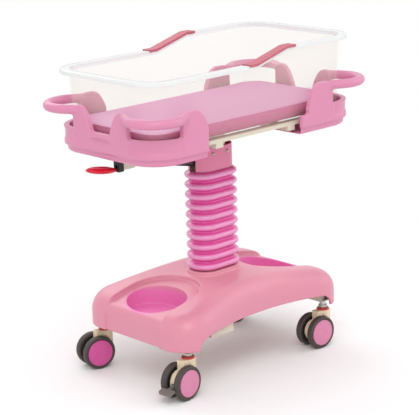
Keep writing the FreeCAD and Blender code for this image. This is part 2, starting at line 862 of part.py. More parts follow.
def side_arch():
    """What the long sides leave open: a flat arch with round corners, right through in y."""
    bottom, half, y = n.cover_bottom, n.arch_half_length, -n.cover_width
    knee = half - n.arch_corner_length
    shoulder = bottom + n.arch_corner_height
    turn = math.cos(math.pi / 4)
    points = {}
    for sx in (-1, 1):
        points[sx] = [Vector(sx * half, y, bottom - n.cover_wall), Vector(sx * half, y, bottom),
                      Vector(sx * (knee + n.arch_corner_length * turn), y,
                             bottom + n.arch_corner_height * turn),
                      Vector(sx * knee, y, shoulder)]
    edges = [Part.Arc(points[-1][3], Vector(0, y, bottom + n.arch_height), points[1][3]).toShape(),
             Part.makeLine(points[-1][0], points[1][0])]
    for sx in (-1, 1):
        edges.append(Part.makeLine(points[sx][0], points[sx][1]))
        edges.append(Part.Arc(*points[sx][1:]).toShape())
    face = Part.Face(Part.Wire(Part.__sortEdges__(edges)))
    return face.extrude(Vector(0, 2 * n.cover_width, 0))


def base_cover():
    bottom, top = n.cover_bottom, n.cover_top
    low, high = bottom - 2 * n.cover_wall, top + n.cover_wall
    skin = n.panel_depth + n.cover_wall
    outer = cover_solid(0, bottom, n.cover_shoulder)
    lower = n.panel_top_drop - n.panel_depth
    recessed = cover_solid(n.panel_depth, bottom, n.panel_shoulder, lower)
    hollow = cover_solid(skin, low, n.cover_shoulder)
    deep = cover_solid(skin, low, n.cover_shoulder, lower)
    for turn in (0, 180):
        panel = end_panel(0, low, high)
        panel.rotate(Vector(), Vector(0, 0, 1), turn)
        outer = outer.cut(panel).fuse(recessed.common(panel))
        under_panel = end_panel(-n.cover_wall, low - n.cover_wall, high + n.cover_wall)
        under_panel.rotate(Vector(), Vector(0, 0, 1), turn)
        hollow = hollow.cut(under_panel.cut(deep))
    seat = stadium_prism(n.sleeve_half_length + n.ring_depth + n.seat_margin,
                         n.sleeve_half_width + n.ring_depth + n.seat_margin,
                         top - 3 * n.cover_wall, n.seat_top)
    form = outer.fuse(seat).cut(hollow)
    floor = top - n.bowl_floor_drop
    for turn in (0, 180):
        cup = bowl(n.cover_wall, floor - n.cover_wall, high + n.cover_wall)
        cup.rotate(Vector(), Vector(0, 0, 1), turn)
        form = form.fuse(cup.common(recessed))
    ribs = []
    for sx in (-1, 1):
        for sy in (-1, 1):
            rib = block(-n.cover_rib / 2, n.cover_rib / 2, -n.cover_rib * 4, n.cover_rib * 4,
                        n.frame_top, top)
            rib.translate(Vector(sx * n.caster_x, sy * (n.caster_y - 8 * n.cover_rib), 0))
            ribs.append(rib.common(recessed))
    form = form.fuse(ribs)
    form = form.cut(side_arch())
    for turn in (0, 180):
        hollow = bowl(0, floor, high + n.cover_wall)
        hollow.rotate(Vector(), Vector(0, 0, 1), turn)
        form = form.cut(hollow)
    opening = stadium_prism(n.sleeve_half_length - n.sleeve_wall, n.sleeve_half_width - n.sleeve_wall,
                            n.frame_top, n.seat_top + 1)
    keep("base_cover", feature("base_cover", form.cut(opening).removeSplitter()))


# ---- column ----


def column_flange():
    plate = box("flange_plate", "-flange_length / 2", "-flange_width / 2", "frame_top",
                "flange_length", "flange_width", "flange_thickness")
    bores = [rod(f"flange_bore_{k}", "flange_bolt_dia / 2", "flange_thickness",
                 f"{sx}flange_bolt_x", f"{sy}flange_bolt_y", "frame_top")
             for k, (sx, sy) in enumerate((("-", "-"), ("-", ""), ("", "-"), ("", "")))]
    keep("column_flange", cut("column_flange", plate, fuse("flange_bores", *bores)))


def flange_bolts():
    bolts = []
    for k, (sx, sy) in enumerate((("-", "-"), ("-", ""), ("", "-"), ("", ""))):
        shank = rod(f"bolt_shank_{k}", "flange_bolt_dia / 2", "flange_thickness",
                    f"{sx}flange_bolt_x", f"{sy}flange_bolt_y", "frame_top")
        head = doc.addObject("Part::Prism", f"bolt_head_{k}")
        bind(head, Circumradius="flange_bolt_dia * 0.85", Height="flange_bolt_dia * 0.6")
        at(head, f"{sx}flange_bolt_x", f"{sy}flange_bolt_y", "tube_foot")
        bolts.append(fuse(f"bolt_{k}", shank, head))
    keep("flange_bolts", group("flange_bolts", *bolts))


def square_tube(name, length, width, bottom, height):
    outer = box(name + "_outside", f"-{length} / 2", f"-{width} / 2", bottom, length, width, height)
    inner = box(name + "_inside", f"-{length} / 2 + tube_wall", f"-{width} / 2 + tube_wall",
                bottom + " - 1", f"{length} - 2 * tube_wall", f"{width} - 2 * tube_wall", height + " + 2")
    return keep(name, cut(name, outer, inner))


def guide_bush():
    """The plastic bush in the mouth of the outer tube, in which the inner tube slides."""
    mouth = "tube_foot + outer_tube_height"
    rim = box("bush_rim_block", "-outer_tube_length / 2", "-outer_tube_width / 2", mouth,
              "outer_tube_length", "outer_tube_width", "bush_rim")
    plug = box("bush_plug", "-outer_tube_length / 2 + tube_wall", "-outer_tube_width / 2 + tube_wall",
               mouth + " - bush_depth", "outer_tube_length - 2 * tube_wall",
               "outer_tube_width - 2 * tube_wall", "bush_depth + bush_rim")
    bore = box("bush_bore", "-inner_tube_length / 2 - running_clearance",
               "-inner_tube_width / 2 - running_clearance", mouth + " - 2 * bush_depth",
               "inner_tube_length + 2 * running_clearance", "inner_tube_width + 2 * running_clearance",
               "4 * bush_depth")
    keep("guide_bush", cut("guide_bush", fuse("bush_body", rim, plug), bore))


def lift_gas_spring():
    """The lockable gas spring that lifts the bed: its cylinder stands on the flange."""
    inner = "lift_cylinder_dia / 2 - lift_cylinder_wall"
    bore = "lift_rod_dia / 2 + running_clearance"
    foot, top = "tube_foot", "tube_foot + lift_cylinder_height"
    cylinder = [
        ("0", foot),
        ("lift_cylinder_dia / 2", foot),
        ("lift_cylinder_dia / 2", top),
        (bore, top),
        (bore, top + " - piston_height"),
        (inner, top + " - piston_height"),
        (inner, foot + " + lift_cylinder_wall"),
        ("0", foot + " + lift_cylinder_wall"),
    ]
    keep("lift_gas_cylinder", turned("lift_gas_cylinder", "XZ_Plane", cylinder))
    base = "head_bottom - lift_rod_height"
    piston = [
        ("0", base),
        (inner + " - running_clearance", base),
        (inner + " - running_clearance", base + " + piston_height"),
        ("lift_rod_dia / 2", base + " + piston_height"),
        ("lift_rod_dia / 2", "head_bottom"),
        ("0", "head_bottom"),
    ]
    keep("lift_gas_rod", turned("lift_gas_rod", "XZ_Plane", piston))


def bellows():
    """Ten soft rings on a thin oval tube, from the cover's seat to the sleeve."""
    outer_length, outer_width = n.sleeve_half_length, n.sleeve_half_width
    tube = stadium_prism(outer_length, outer_width, n.seat_top, n.sleeve_bottom)
    count = int(n.bellows_rings)
    pitch = (n.bellows_height - 2 * n.ring_lead) / (count - 1)
    rings = []
    for k in range(count):
        middle = n.seat_top + n.ring_lead + k * pitch
        ring = stadium_prism(outer_length + n.ring_depth, outer_width + n.ring_depth,
                             middle - n.ring_thickness / 2, middle + n.ring_thickness / 2)
        flat = [e for e in ring.Edges if e.BoundBox.ZLength < n.running_clearance]
        rings.append(ring.makeFillet(n.ring_thickness * 0.48, flat))
    bore = stadium_prism(outer_length - n.sleeve_wall, outer_width - n.sleeve_wall,
                         n.seat_top - 1, n.sleeve_bottom + 1)
    keep("bellows", feature("bellows", tube.fuse(rings).cut(bore)))


def column_sleeve():
    """The oval sleeve at the top of the column, notched for the tilt gas spring."""
    bottom, top = n.sleeve_bottom, n.sleeve_top
    skin = stadium_prism(n.sleeve_half_length, n.sleeve_half_width, bottom, top)
    skin = skin.cut(stadium_prism(n.sleeve_half_length - n.sleeve_wall,
                                  n.sleeve_half_width - n.sleeve_wall, bottom - 1, top + 1))
    half_notch = n.sleeve_notch_width / 2
    notch = block(-2 * n.sleeve_half_length, -n.sleeve_half_width, -half_notch, half_notch,
                  bottom - 1, bottom + n.sleeve_notch_height)
    skin = skin.cut(notch)
    for centre, inward in sleeve_screw_places():
        skin = skin.cut(Part.makeCylinder(n.tray_screw_dia / 2, 3 * n.sleeve_wall,
                                          centre - inward * n.sleeve_wall, inward))
    keep("column_sleeve", feature("column_sleeve", skin))


def sleeve_screw_places():
    """Where the sleeve's screws sit on its outer face, and which way they point."""
    height = n.sleeve_top - n.sleeve_screw_drop
    spread = n.tab_length / 2 - n.sleeve_screw_inset
    return [(Vector(sx * spread, sy * n.sleeve_half_width, height), Vector(0, -sy, 0))
            for sx in (-1, 1) for sy in (-1, 1)]


def sleeve_screws():
    screws = []
    for centre, inward in sleeve_screw_places():
        shank = Part.makeCylinder(n.tray_screw_dia / 2, 2 * n.sleeve_wall + n.head_clearance,
                                  centre, inward)
        radius = n.tray_screw_head_dia / 2
        head = Part.makeSphere(radius, centre)
        half = block(-radius, radius, -radius, radius, -radius, radius)
        half.translate(centre + inward * radius)
        screws.append(head.cut(half).fuse(shank))
    keep("sleeve_screws", feature("sleeve_screws", Part.makeCompound(screws)))


def column_head():
    """Welded on the inner tube: a plate, two lugs for the pins, and tabs behind the sleeve."""
    inside_length = n.sleeve_half_length - n.sleeve_wall - n.head_clearance
    inside_width = n.sleeve_half_width - n.sleeve_wall - n.head_clearance
    plate = stadium_prism(inside_length, inside_width, n.head_bottom, n.head_top)
    pieces = []
    for sy in (-1, 1):
        faces = sorted((sy * n.lug_inner, sy * (n.lug_inner + n.lug_thickness)))
        pieces.append(block(-n.lug_width / 2, n.lug_width / 2, *faces, n.head_bottom,
                            n.pivot_z + n.lug_over_pivot))
        faces = sorted((sy * inside_width, sy * (inside_width - n.sleeve_wall)))
        pieces.append(block(-n.tab_length / 2, n.tab_length / 2, *faces, n.head_bottom,
                            n.head_top + n.tab_height))
    head = plate.fuse(pieces)
    tab_limit = stadium_prism(inside_length, inside_width, n.head_bottom, n.pivot_z + n.lug_over_pivot)
    head = head.common(tab_limit)
    across = Vector(0, 1, 0)
    wide = 2 * n.sleeve_half_width
    head = head.cut(Part.makeCylinder(n.pivot_dia / 2, wide, Vector(0, -wide / 2, n.pivot_z), across))
    anchor = Part.makeCylinder(n.anchor_dia / 2, 2 * (n.lug_inner + n.lug_thickness),
                               Vector(n.anchor_x, -n.lug_inner - n.lug_thickness, n.anchor_z), across)
    head = head.fuse(anchor)
    for centre, inward in sleeve_screw_places():
        head = head.cut(Part.makeCylinder(n.tray_screw_dia / 2, 4 * n.sleeve_wall,
                                          centre - inward * n.sleeve_wall, inward))
    keep("column_head", feature("column_head", head.removeSplitter()))


def pivot_pin():
    half = "(cheek_inner + cradle_plate)"
    shank = rod("pivot_shank", "pivot_dia / 2", "2 * " + half, "0", "-" + half, "pivot_z", Vector(0, 1, 0))
    heads = [rod("pivot_head_near", "pivot_head_dia / 2", "pivot_head_depth", "0",
                 "-" + half + " - pivot_head_depth - head_clearance", "pivot_z", Vector(0, 1, 0)),
             rod("pivot_head_far", "pivot_head_dia / 2", "pivot_head_depth", "0",
                 half + " + head_clearance", "pivot_z", Vector(0, 1, 0)),
             rod("pivot_neck", "pivot_dia / 2", "2 * (" + half + " + head_clearance)", "0",
                 "-" + half + " - head_clearance", "pivot_z", Vector(0, 1, 0))]
    keep("pivot_pin", fuse("pivot_pin", shank, *heads))


# ---- tilt gas spring ----


def spring_line():
    """From the anchor on the column head to the deck's pin: start, direction and length."""
    start = Vector(n.anchor_x, 0, n.anchor_z)
    run = Vector(n.spring_end_x, 0, n.spring_end_z) - start
    length = run.Length
    return start, run.normalize(), length


def along_spring(shape):
    """Lays a shape made along +x on the spring's line."""
    start, direction, _ = spring_line()
    shape.rotate(Vector(), Vector(0, 1, 0), 180 + math.degrees(math.atan2(direction.z, -direction.x)))
    shape.translate(start)
    return shape


def eye(centre_x, bore):
    half = n.spring_eye_width / 2
    across = Vector(0, 1, 0)
    ring = Part.makeCylinder(n.spring_eye_dia / 2, 2 * half, Vector(centre_x, -half, 0), across)
    return ring, Part.makeCylinder(bore / 2, 4 * half, Vector(centre_x, -2 * half, 0), across)


def tilt_gas_cylinder():
    along = Vector(1, 0, 0)
    first, length = n.spring_eye_dia * 0.8, n.spring_cylinder_length
    barrel = Part.makeCylinder(n.spring_dia / 2, length - first, Vector(first, 0, 0), along)
    neck = Part.makeCylinder(n.spring_eye_width / 2, first + 1, Vector(), along)
    ring, bore = eye(0, n.anchor_dia + 2 * n.running_clearance)
    inside = Part.makeCylinder(n.spring_dia / 2 - n.spring_wall, length - first - 3 * n.spring_wall,
                               Vector(first + n.spring_wall, 0, 0), along)
    gland = Vector(first + n.spring_gland, 0, 0)
    rod_bore = Part.makeCylinder(n.spring_rod_dia / 2 + n.running_clearance, length, gland, along)
    shape = barrel.fuse([neck, ring]).cut(bore).cut(inside).cut(rod_bore)
    keep("tilt_gas_cylinder", feature("tilt_gas_cylinder", along_spring(shape)))


def tilt_gas_rod():
    along = Vector(1, 0, 0)
    _, _, length = spring_line()
    start = n.spring_piston_from_anchor
    shaft = Part.makeCylinder(n.spring_rod_dia / 2, length - start - n.spring_eye_dia / 2 + 1,
                              Vector(start, 0, 0), along)
    piston = Part.makeCylinder(n.spring_dia / 2 - n.spring_wall - n.running_clearance,
                               n.spring_eye_width, Vector(start, 0, 0), along)
    ring, bore = eye(length, n.spring_pin_dia + 2 * n.open_pivot_clearance)
    shape = shaft.fuse([piston, ring]).cut(bore)
    keep("tilt_gas_rod", feature("tilt_gas_rod", along_spring(shape)))


def gas_bracket():
    """Under the cradle plate: two lugs and the pin that the gas spring pushes on."""
    half_eye = n.spring_eye_width / 2 + n.hood_clearance
    half_long, sheet_metal = n.spring_eye_dia * 0.9, n.bracket_sheet
    x = n.spring_end_x
    plate = block(x - half_long, x + half_long, -half_eye - sheet_metal, half_eye + sheet_metal,
                  n.cradle_bottom - sheet_metal, n.cradle_bottom)
    lugs = [block(x - half_long, x + half_long, *sorted((sy * half_eye, sy * (half_eye + sheet_metal))),
                  n.spring_end_z - n.spring_pin_dia, n.cradle_bottom) for sy in (-1, 1)]
    reach = half_eye + sheet_metal
    pin = Part.makeCylinder(n.spring_pin_dia / 2, 2 * reach, Vector(x, -reach, n.spring_end_z), Vector(0, 1, 0))
    keep("gas_bracket", feature("gas_bracket", plate.fuse(lugs + [pin]).removeSplitter()))


# ---- deck ----


def tilt_cradle():
    """The spine of the deck, with the two cheeks that hang on the pivot pin."""
    plate = box("cradle_flat", "-cradle_foot_reach", "-cradle_half_width", "cradle_bottom",
                "cradle_foot_reach + cradle_head_reach", "2 * cradle_half_width", "cradle_plate")
    cheeks = []
    for side, y in (("near", "-cheek_inner - cradle_plate"), ("far", "cheek_inner")):
        cheeks.append(box(f"cheek_{side}", "-cheek_half_length", y, "pivot_z - cheek_below_pivot",
                          "2 * cheek_half_length", "cradle_plate",
                          "cheek_below_pivot + cradle_rise + cradle_plate"))
    bore = rod("cradle_bore", "pivot_dia / 2 + running_clearance", "4 * cradle_half_width", "0",
               "-2 * cradle_half_width", "pivot_z", Vector(0, 1, 0))
    keep("tilt_cradle", cut("tilt_cradle", fuse("cradle_sum", plate, *cheeks), bore))


def flat_tube(name, x, y, z, length, width, height, along):
    """A thin-walled flat tube, open at its ends along x or y."""
    outer = box(name + "_outside", x, y, z, length, width, height)
    wall = "deck_tube_wall"
    if along == "x":
        inner = box(name + "_inside", f"{x} - 1", f"{y} + {wall}", f"{z} + {wall}",
                    f"{length} + 2", f"{width} - 2 * {wall}", f"{height} - 2 * {wall}")
    else:
        inner = box(name + "_inside", f"{x} + {wall}", f"{y} - 1", f"{z} + {wall}",
                    f"{length} - 2 * {wall}", f"{width} + 2", f"{height} - 2 * {wall}")
    return cut(name, outer, inner)


def deck_crossbars():
    bars = [flat_tube(f"deck_crossbar_{end}", f"{sx}deck_crossbar_x - deck_crossbar_width / 2",
                      "-deck_rail_outer", "cradle_top", "deck_crossbar_width", "2 * deck_rail_outer",
                      "deck_crossbar_height", "y")
            for end, sx in (("foot", "-"), ("head", ""))]
    keep("deck_crossbars", group("deck_crossbars", *bars))


def deck_rails():
    rails = []
    for side, y, sy in (("near", "-deck_rail_outer", -1), ("far", "deck_rail_outer - deck_rail_width", 1)):
        tube = flat_tube(f"deck_rail_{side}_tube", "-deck_rail_length / 2", y, "deck_rail_bottom",
                         "deck_rail_length", "deck_rail_width", "deck_rail_height", "x")
        bores = [rod(f"rail_bore_{side}_{k}", "tray_screw_dia / 2", "deck_rail_height - deck_tube_wall",
                     x, f"{sy} * (deck_rail_outer - deck_rail_width / 2)", "deck_rail_bottom")
                 for k, x in enumerate(boss_places())]
        rails.append(cut(f"deck_rail_{side}", tube, fuse(f"rail_bores_{side}", *bores)))
    keep("deck_rails", group("deck_rails", *rails))


def boss_places():
    return ["-tray_boss_outer_x", "-tray_boss_inner_x", "tray_boss_inner_x", "tray_boss_outer_x"]


# ---- end trays ----


def tray_prism(inset, bottom, top):
    return rounded_prism(n.tray_length / 2 - inset, n.tray_width / 2 - inset,
                         n.tray_radius - inset, bottom, top)


def grip_path(height):
    """A grip's centre line round the corner at +x, -y: flare, corner, flare."""
    wall_y = n.tray_width / 2 - n.tray_wall / 2
    wall_x = n.tray_length / 2 - n.tray_wall / 2
    flare_x, flare_y = n.grip_reach_x - wall_x, n.grip_reach_y - wall_y
    lead = n.grip_corner_radius + n.grip_flare_radius * math.tan(math.radians(15)) + n.grip_straight
    slope = math.tan(math.radians(60))
    corners = [
        (n.grip_reach_x - lead - flare_y * slope, -wall_y, 0),
        (n.grip_reach_x - lead, -n.grip_reach_y, n.grip_flare_radius),
        (n.grip_reach_x, -n.grip_reach_y, n.grip_corner_radius),
        (n.grip_reach_x, -n.grip_reach_y + lead, n.grip_flare_radius),
        (wall_x, -n.grip_reach_y + lead + flare_x * slope, 0),
    ]
    points = [Vector(x, y, height) for x, y, _ in corners]
    edges, start = [], points[0]
    for k in range(1, len(points) - 1):
        before = (points[k - 1] - points[k]).normalize()
        after = (points[k + 1] - points[k]).normalize()
        half = before.getAngle(after) / 2
        radius = corners[k][2]
        tangent = radius / math.tan(half)
        bisector = (before + after).normalize()
        centre = points[k] + bisector * (radius / math.sin(half))
        enter, leave = points[k] + before * tangent, points[k] + after * tangent
        edges.append(Part.makeLine(start, enter))
        edges.append(Part.Arc(enter, centre - bisector * radius, leave).toShape())
        start = leave
    edges.append(Part.makeLine(start, points[-1]))
    return Part.Wire(edges), (points[1] - points[0]).normalize()


def corner_grip(height):
    path, direction = grip_path(height)
    start = path.OrderedVertexes[0].Point
    ring = Part.Wire([Part.makeCircle(n.grip_dia / 2, start, direction)])
    return path.makePipeShell([ring], True, False)


def post_outline(inner, outer, lean, bottom, wall_top, post_top):
    """A post's outline: upright at its window side, leaning and rounded at the other."""
    rise = post_top - wall_top
    return [
        (inner, bottom),
        (inner, wall_top - rise * 0.15),
        (inner + lean * 0.1, wall_top + rise * 0.2),
        (inner + lean * 0.28, wall_top + rise * 0.5),
        (inner + lean * 0.5, wall_top + rise * 0.76),
        (inner + lean * 0.75, wall_top + rise * 0.93),
        (inner + lean, post_top),
        (outer - n.post_shoulder_run, post_top),
        (outer - n.post_shoulder_tail, post_top - n.grip_dia * 0.2),
        (outer, post_top - n.grip_dia * 0.6),
        (outer, bottom),
    ]


def long_post(start, end, bottom, wall_top, post_top):
    """A post of the long side, in x and z."""
    return slab_xz(post_outline(start, end, n.post_lean, bottom, wall_top, post_top), n.tray_width)


def short_post(sy, bottom, wall_top, post_top):
    """A post of the short side, in y and z."""
    outline = post_outline(n.short_post_start, n.short_post_end, n.post_lean, bottom, wall_top, post_top)
    return slab_yz([(sy * y, z) for y, z in outline], n.head_post_end, n.tray_length)


def tray_shape(inner_end, post_start, post_end):
    """A tray at +x: a stepped floor pan, a wall, four posts and two corner grips."""
    bottom = n.tray_bottom
    step, wall_top = bottom + n.tray_tier_height, bottom + n.tray_side_height
    post_top = bottom + n.tray_post_height
    inset, far = n.tray_tier_inset, n.tray_length
    pan = tray_prism(inset, bottom, step)
    foot_edges = [e for e in pan.Edges if e.BoundBox.ZMax < bottom + n.running_clearance]
    pan = pan.makeFillet(n.tray_bottom_round, foot_edges)
    pan = pan.cut(tray_prism(inset + n.tray_floor, bottom + n.tray_floor, step + 1))
    band = tray_prism(0, step, post_top).cut(tray_prism(n.tray_wall, step - 1, post_top + 1))
    wall = band.common(block(post_start, far, -far, far, step, wall_top))
    low_wall = band.common(block(inner_end, far, -far, far, step, bottom + n.tray_low_height))
    outside = tray_prism(-1, bottom + n.facet_bottom, bottom + n.facet_top)
    facet = outside.cut(tray_prism(n.facet_depth, bottom, post_top))
    corner_x, corner_y = post_end + n.facet_corner_gap, n.short_post_end + n.facet_corner_gap
    for sy in (-1, 1):
        sides = sorted((sy * corner_y, sy * far))
        corner = facet.common(block(corner_x, far, *sides, bottom, post_top))
        wall, low_wall = wall.cut(corner), low_wall.cut(corner)
    pieces = [low_wall, band.common(long_post(post_start, post_end, step, wall_top, post_top))]
    for sy in (-1, 1):
        pieces.append(band.common(short_post(sy, step, wall_top, post_top)))
    grip = corner_grip(bottom + n.grip_height)
    pieces += [grip, grip.mirror(Vector(), Vector(0, 1, 0))]
    bead_x = n.tray_length / 2 - n.bead_dia / 2 + n.bead_proud
    pieces.append(Part.makeCylinder(n.bead_dia / 2, 2 * n.short_post_start + n.bead_dia,
                                    Vector(bead_x, -n.short_post_start - n.bead_dia / 2,
                                           wall_top - n.bead_drop), Vector(0, 1, 0)))
    seam = pan.fuse([wall] + pieces)
    seam = seam.common(block(inner_end, far, -far, far, bottom, post_top + n.grip_dia))
    half = n.tray_opening_half_width
    seam = seam.cut(block(0, n.tray_opening_end, -half, half, bottom - 1, bottom + n.tray_floor + 1))
    boss_y = n.deck_rail_outer - n.deck_rail_width / 2
    for x in (n.tray_boss_inner_x, n.tray_boss_outer_x):
        for sy in (-1, 1):
            foot = Vector(x, sy * boss_y, bottom)
            boss = Part.makeCylinder(n.tray_boss_dia / 2, n.deck_rail_bottom - bottom, foot)
            bore = Part.makeCylinder(n.tray_screw_dia / 2, n.tray_drop, foot)
            seam = seam.fuse(boss).cut(bore)
    return seam.removeSplitter()


def end_trays():
    head = tray_shape(n.head_tray_inner_end, n.head_post_start, n.head_post_end)
    keep("head_tray", feature("head_tray", head))
    foot = tray_shape(n.foot_tray_inner_end, n.foot_post_start, n.foot_post_end)
    keep("foot_tray", feature("foot_tray", flipped(foot)))


def tray_screws():
    """Eight pan-head screws, up through the trays' bosses into the rails."""
    screws = []
    for k, x in enumerate(boss_places()):
        for side, sy in (("near", -1), ("far", 1)):
            y = f"{sy} * (deck_rail_outer - deck_rail_width / 2)"
            shank = rod(f"tray_shank_{side}_{k}", "tray_screw_dia / 2", "tray_drop - deck_tube_wall",
                        x, y, "tray_bottom")
            head = rod(f"tray_head_{side}_{k}", "tray_screw_head_dia / 2", "tray_screw_head_depth",
                       x, y, "tray_bottom - tray_screw_head_depth")
            screws.append(fuse(f"tray_screw_{side}_{k}", shank, head))
    keep("tray_screws", group("tray_screws", *screws))


# ---- release lever ----


def lever_bracket():
    """Two cheeks under the cradle plate, and the pin that the lever turns on."""
    half = n.lever_barrel_width / 2 + n.head_clearance
    left = n.lever_pivot_x - n.lever_bracket_length * 0.58
    right = left + n.lever_bracket_length
    bottom, top = n.lever_pivot_z - n.lever_bracket_below, n.cradle_bottom
    cheeks = [block(left, right, *sorted((n.lever_y + sy * half, n.lever_y + sy * (half + n.lever_cheek))),
                    bottom, top) for sy in (-1, 1)]
    reach = half + n.lever_cheek
    plate = block(left, right, n.lever_y - reach, n.lever_y + reach, top - n.lever_cheek, top)
    pin = Part.makeCylinder(n.lever_pin_dia / 2, 2 * reach,
                            Vector(n.lever_pivot_x, n.lever_y - reach, n.lever_pivot_z), Vector(0, 1, 0))
    keep("lever_bracket", feature("lever_bracket", plate.fuse(cheeks + [pin]).removeSplitter()))


def lever_housing():
    """The black guide in front of the bracket, with the slot that the lever's rod moves in."""
    right = n.lever_pivot_x - n.lever_bracket_length * 0.58
    left = right - n.lever_housing_length
    half = n.lever_housing_width / 2
    low = n.lever_pivot_z - n.lever_rod_dia / 2 - n.hood_clearance
    body = block(left, right, n.lever_y - half, n.lever_y + half, low - n.lever_cheek, n.cradle_bottom)
    slot_half = n.lever_rod_dia / 2 + n.hood_clearance
    slot = block(left - 1, right + 1, n.lever_y - slot_half, n.lever_y + slot_half, low,
                 low + n.lever_slot_height)
    keep("lever_housing", feature("lever_housing", body.cut(slot)))


def release_rod():
    y_axis = Vector(0, 1, 0)
    shaft = rod("release_shaft", "lever_rod_dia / 2", "lever_rod_reach", "lever_pivot_x - lever_rod_reach",
                "lever_y", "lever_pivot_z", Vector(1, 0, 0))
    barrel = rod("release_barrel", "lever_barrel_dia / 2", "lever_barrel_width", "lever_pivot_x",
                 "lever_y - lever_barrel_width / 2", "lever_pivot_z", y_axis)
    bore = rod("release_bore", "lever_pin_dia / 2 + running_clearance", "2 * lever_barrel_width",
               "lever_pivot_x", "lever_y - lever_barrel_width", "lever_pivot_z", y_axis)
    keep("release_rod", cut("release_rod", fuse("release_sum", shaft, barrel), bore))


def release_paddle():
    """A cupped oval hand paddle, pushed over the end of the rod."""
    root_x = n.lever_pivot_x - n.lever_rod_reach + n.paddle_root_reach
    half_long = (root_x - n.paddle_tip_x) / 2 / math.cos(math.radians(n.paddle_slope))
    oval = Part.makeSphere(1)
    stretch = FreeCAD.Matrix()
    stretch.scale(half_long, n.paddle_width / 2, n.paddle_thickness / 2)
    oval = oval.transformGeometry(stretch)
    cup = Part.makeSphere(1)
    hollow = FreeCAD.Matrix()
    hollow.scale(half_long * 0.72, n.paddle_width * 0.36, n.paddle_cup)
    cup = cup.transformGeometry(hollow)
    cup.translate(Vector(-half_long * 0.12, 0, n.paddle_thickness / 2))
    shape = oval.cut(cup)
    shape.rotate(Vector(), Vector(0, 1, 0), n.paddle_slope)
    root_drop = half_long * math.sin(math.radians(n.paddle_slope))
    shape.translate(Vector((root_x + n.paddle_tip_x) / 2, n.lever_y, n.lever_pivot_z + root_drop))
    socket = Part.makeCylinder(n.lever_rod_dia / 2 + n.lever_cheek, n.paddle_socket_length,
                               Vector(root_x - n.paddle_socket_start, n.lever_y, n.lever_pivot_z),
                               Vector(1, 0, 0))
    bore = Part.makeCylinder(n.lever_rod_dia / 2, n.lever_rod_reach,
                             Vector(n.lever_pivot_x - n.lever_rod_reach, n.lever_y, n.lever_pivot_z),
                             Vector(1, 0, 0))
    keep("release_paddle", feature("release_paddle", shape.fuse(socket).cut(bore)))


# ---- basin, rim strips and mattress ----


def basin_half(height, inset):
    """Half length, half width and corner radius of the basin's wall at a height over its floor."""
    out = n.basin_flare * height / n.basin_high_height - inset
    return n.basin_length / 2 + out, n.basin_width / 2 + out, n.basin_radius + out


def basin_taper(inset, bottom, top):
    wires = [rounded_wire(*basin_half(height, inset), n.basin_bottom + height) for height in (bottom, top)]
    return Part.makeLoft(wires, True, True)


def rim_band(lift, depth):
    """The region under the rim's stepped line, raised by lift and as deep as depth."""
    low, high = n.basin_bottom + n.basin_low_height, n.basin_bottom + n.basin_high_height
    far = n.basin_length
    line = [(-far, low), (n.basin_step_start, low), (n.basin_step_end, high), (far, high)]
    upper = [(x, z + lift) for x, z in line]
    lower = [(x, z + lift - depth) for x, z in reversed(line)]
    return slab_xz(upper + lower, n.basin_width)


def rim_ring(proud):
    """The rim's plan as a tall ring: proud is how far it stands out beyond the rim itself."""
    half_x, half_y, radius = basin_half(n.basin_high_height, 0)
    bottom, top = n.basin_bottom, n.basin_bottom + 2 * n.basin_high_height
    spread = n.rim_width - n.basin_wall + proud
    inner = n.basin_wall + proud
    outer = rounded_prism(half_x + spread, half_y + spread, radius + spread, bottom, top)
    return outer.cut(rounded_prism(half_x - inner, half_y - inner, radius - inner, bottom - 1, top + 1))


def basin():
    high = n.basin_high_height
    outer = basin_taper(0, 0, high)
    inner = basin_taper(n.basin_wall, n.basin_wall, high + 1)
    base = [e for e in outer.Edges if e.BoundBox.ZMax < n.basin_bottom + 1]
    outer = outer.makeFillet(n.basin_base_round, base)
    shell = outer.cut(inner).common(rim_band(0, 2 * high))
    rim = rim_ring(0).common(rim_band(0, n.rim_thickness))
    solid = shell.fuse(rim).cut(basin_taper(n.basin_wall, n.basin_wall, high + 1))
    keep("basin", feature("basin", solid.removeSplitter()))


def rim_strips():
    """Ribbed soft strips that cap the rim where it steps up, one on each long side."""
    thick = n.strip_thickness
    cap = rim_ring(thick).common(rim_band(thick, thick + n.strip_skirt))
    cap = cap.cut(NODES["basin"].Shape)
    low, high, far = n.basin_bottom, n.basin_bottom + 2 * n.basin_high_height, n.basin_width
    strips = []
    for sy in (-1, 1):
        reach = block(n.strip_start, n.strip_end, *sorted((sy * n.basin_width / 4, sy * far)), low, high)
        strips.append(cap.common(reach))
    keep("rim_strips", feature("rim_strips", Part.makeCompound(strips)))


def mattress():
    half_x, half_y, radius = basin_half(n.basin_wall, n.basin_wall + n.mattress_clearance)
    pad_shape = rounded_prism(half_x, half_y, radius, n.mattress_bottom,
                              n.mattress_bottom + n.mattress_thickness)
    flat = [e for e in pad_shape.Edges if e.BoundBox.ZLength < n.running_clearance]
    keep("mattress", feature("mattress", pad_shape.makeFillet(n.mattress_edge, flat)))


def build():
    fill_sheet()
    make_casters()
    chassis_crossbars()
    chassis_spine()
    side_brackets()
    bracket_screws()
    base_cover()
    column_flange()
    flange_bolts()
    square_tube("column_outer_tube", "outer_tube_length", "outer_tube_width", "tube_foot",
                "outer_tube_height")
    square_tube("column_inner_tube", "inner_tube_length", "inner_tube_width",
                "(head_bottom - inner_tube_height)", "inner_tube_height")
    guide_bush()
    lift_gas_spring()
    bellows()
    column_sleeve()
    sleeve_screws()
    column_head()
    pivot_pin()
    tilt_gas_cylinder()
    tilt_gas_rod()
    gas_bracket()
    tilt_cradle()
    deck_crossbars()
    deck_rails()
    end_trays()
    tray_screws()
    lever_bracket()
    lever_housing()
    release_rod()
    release_paddle()
    basin()
    rim_strips()
    mattress()
    doc.recompute()


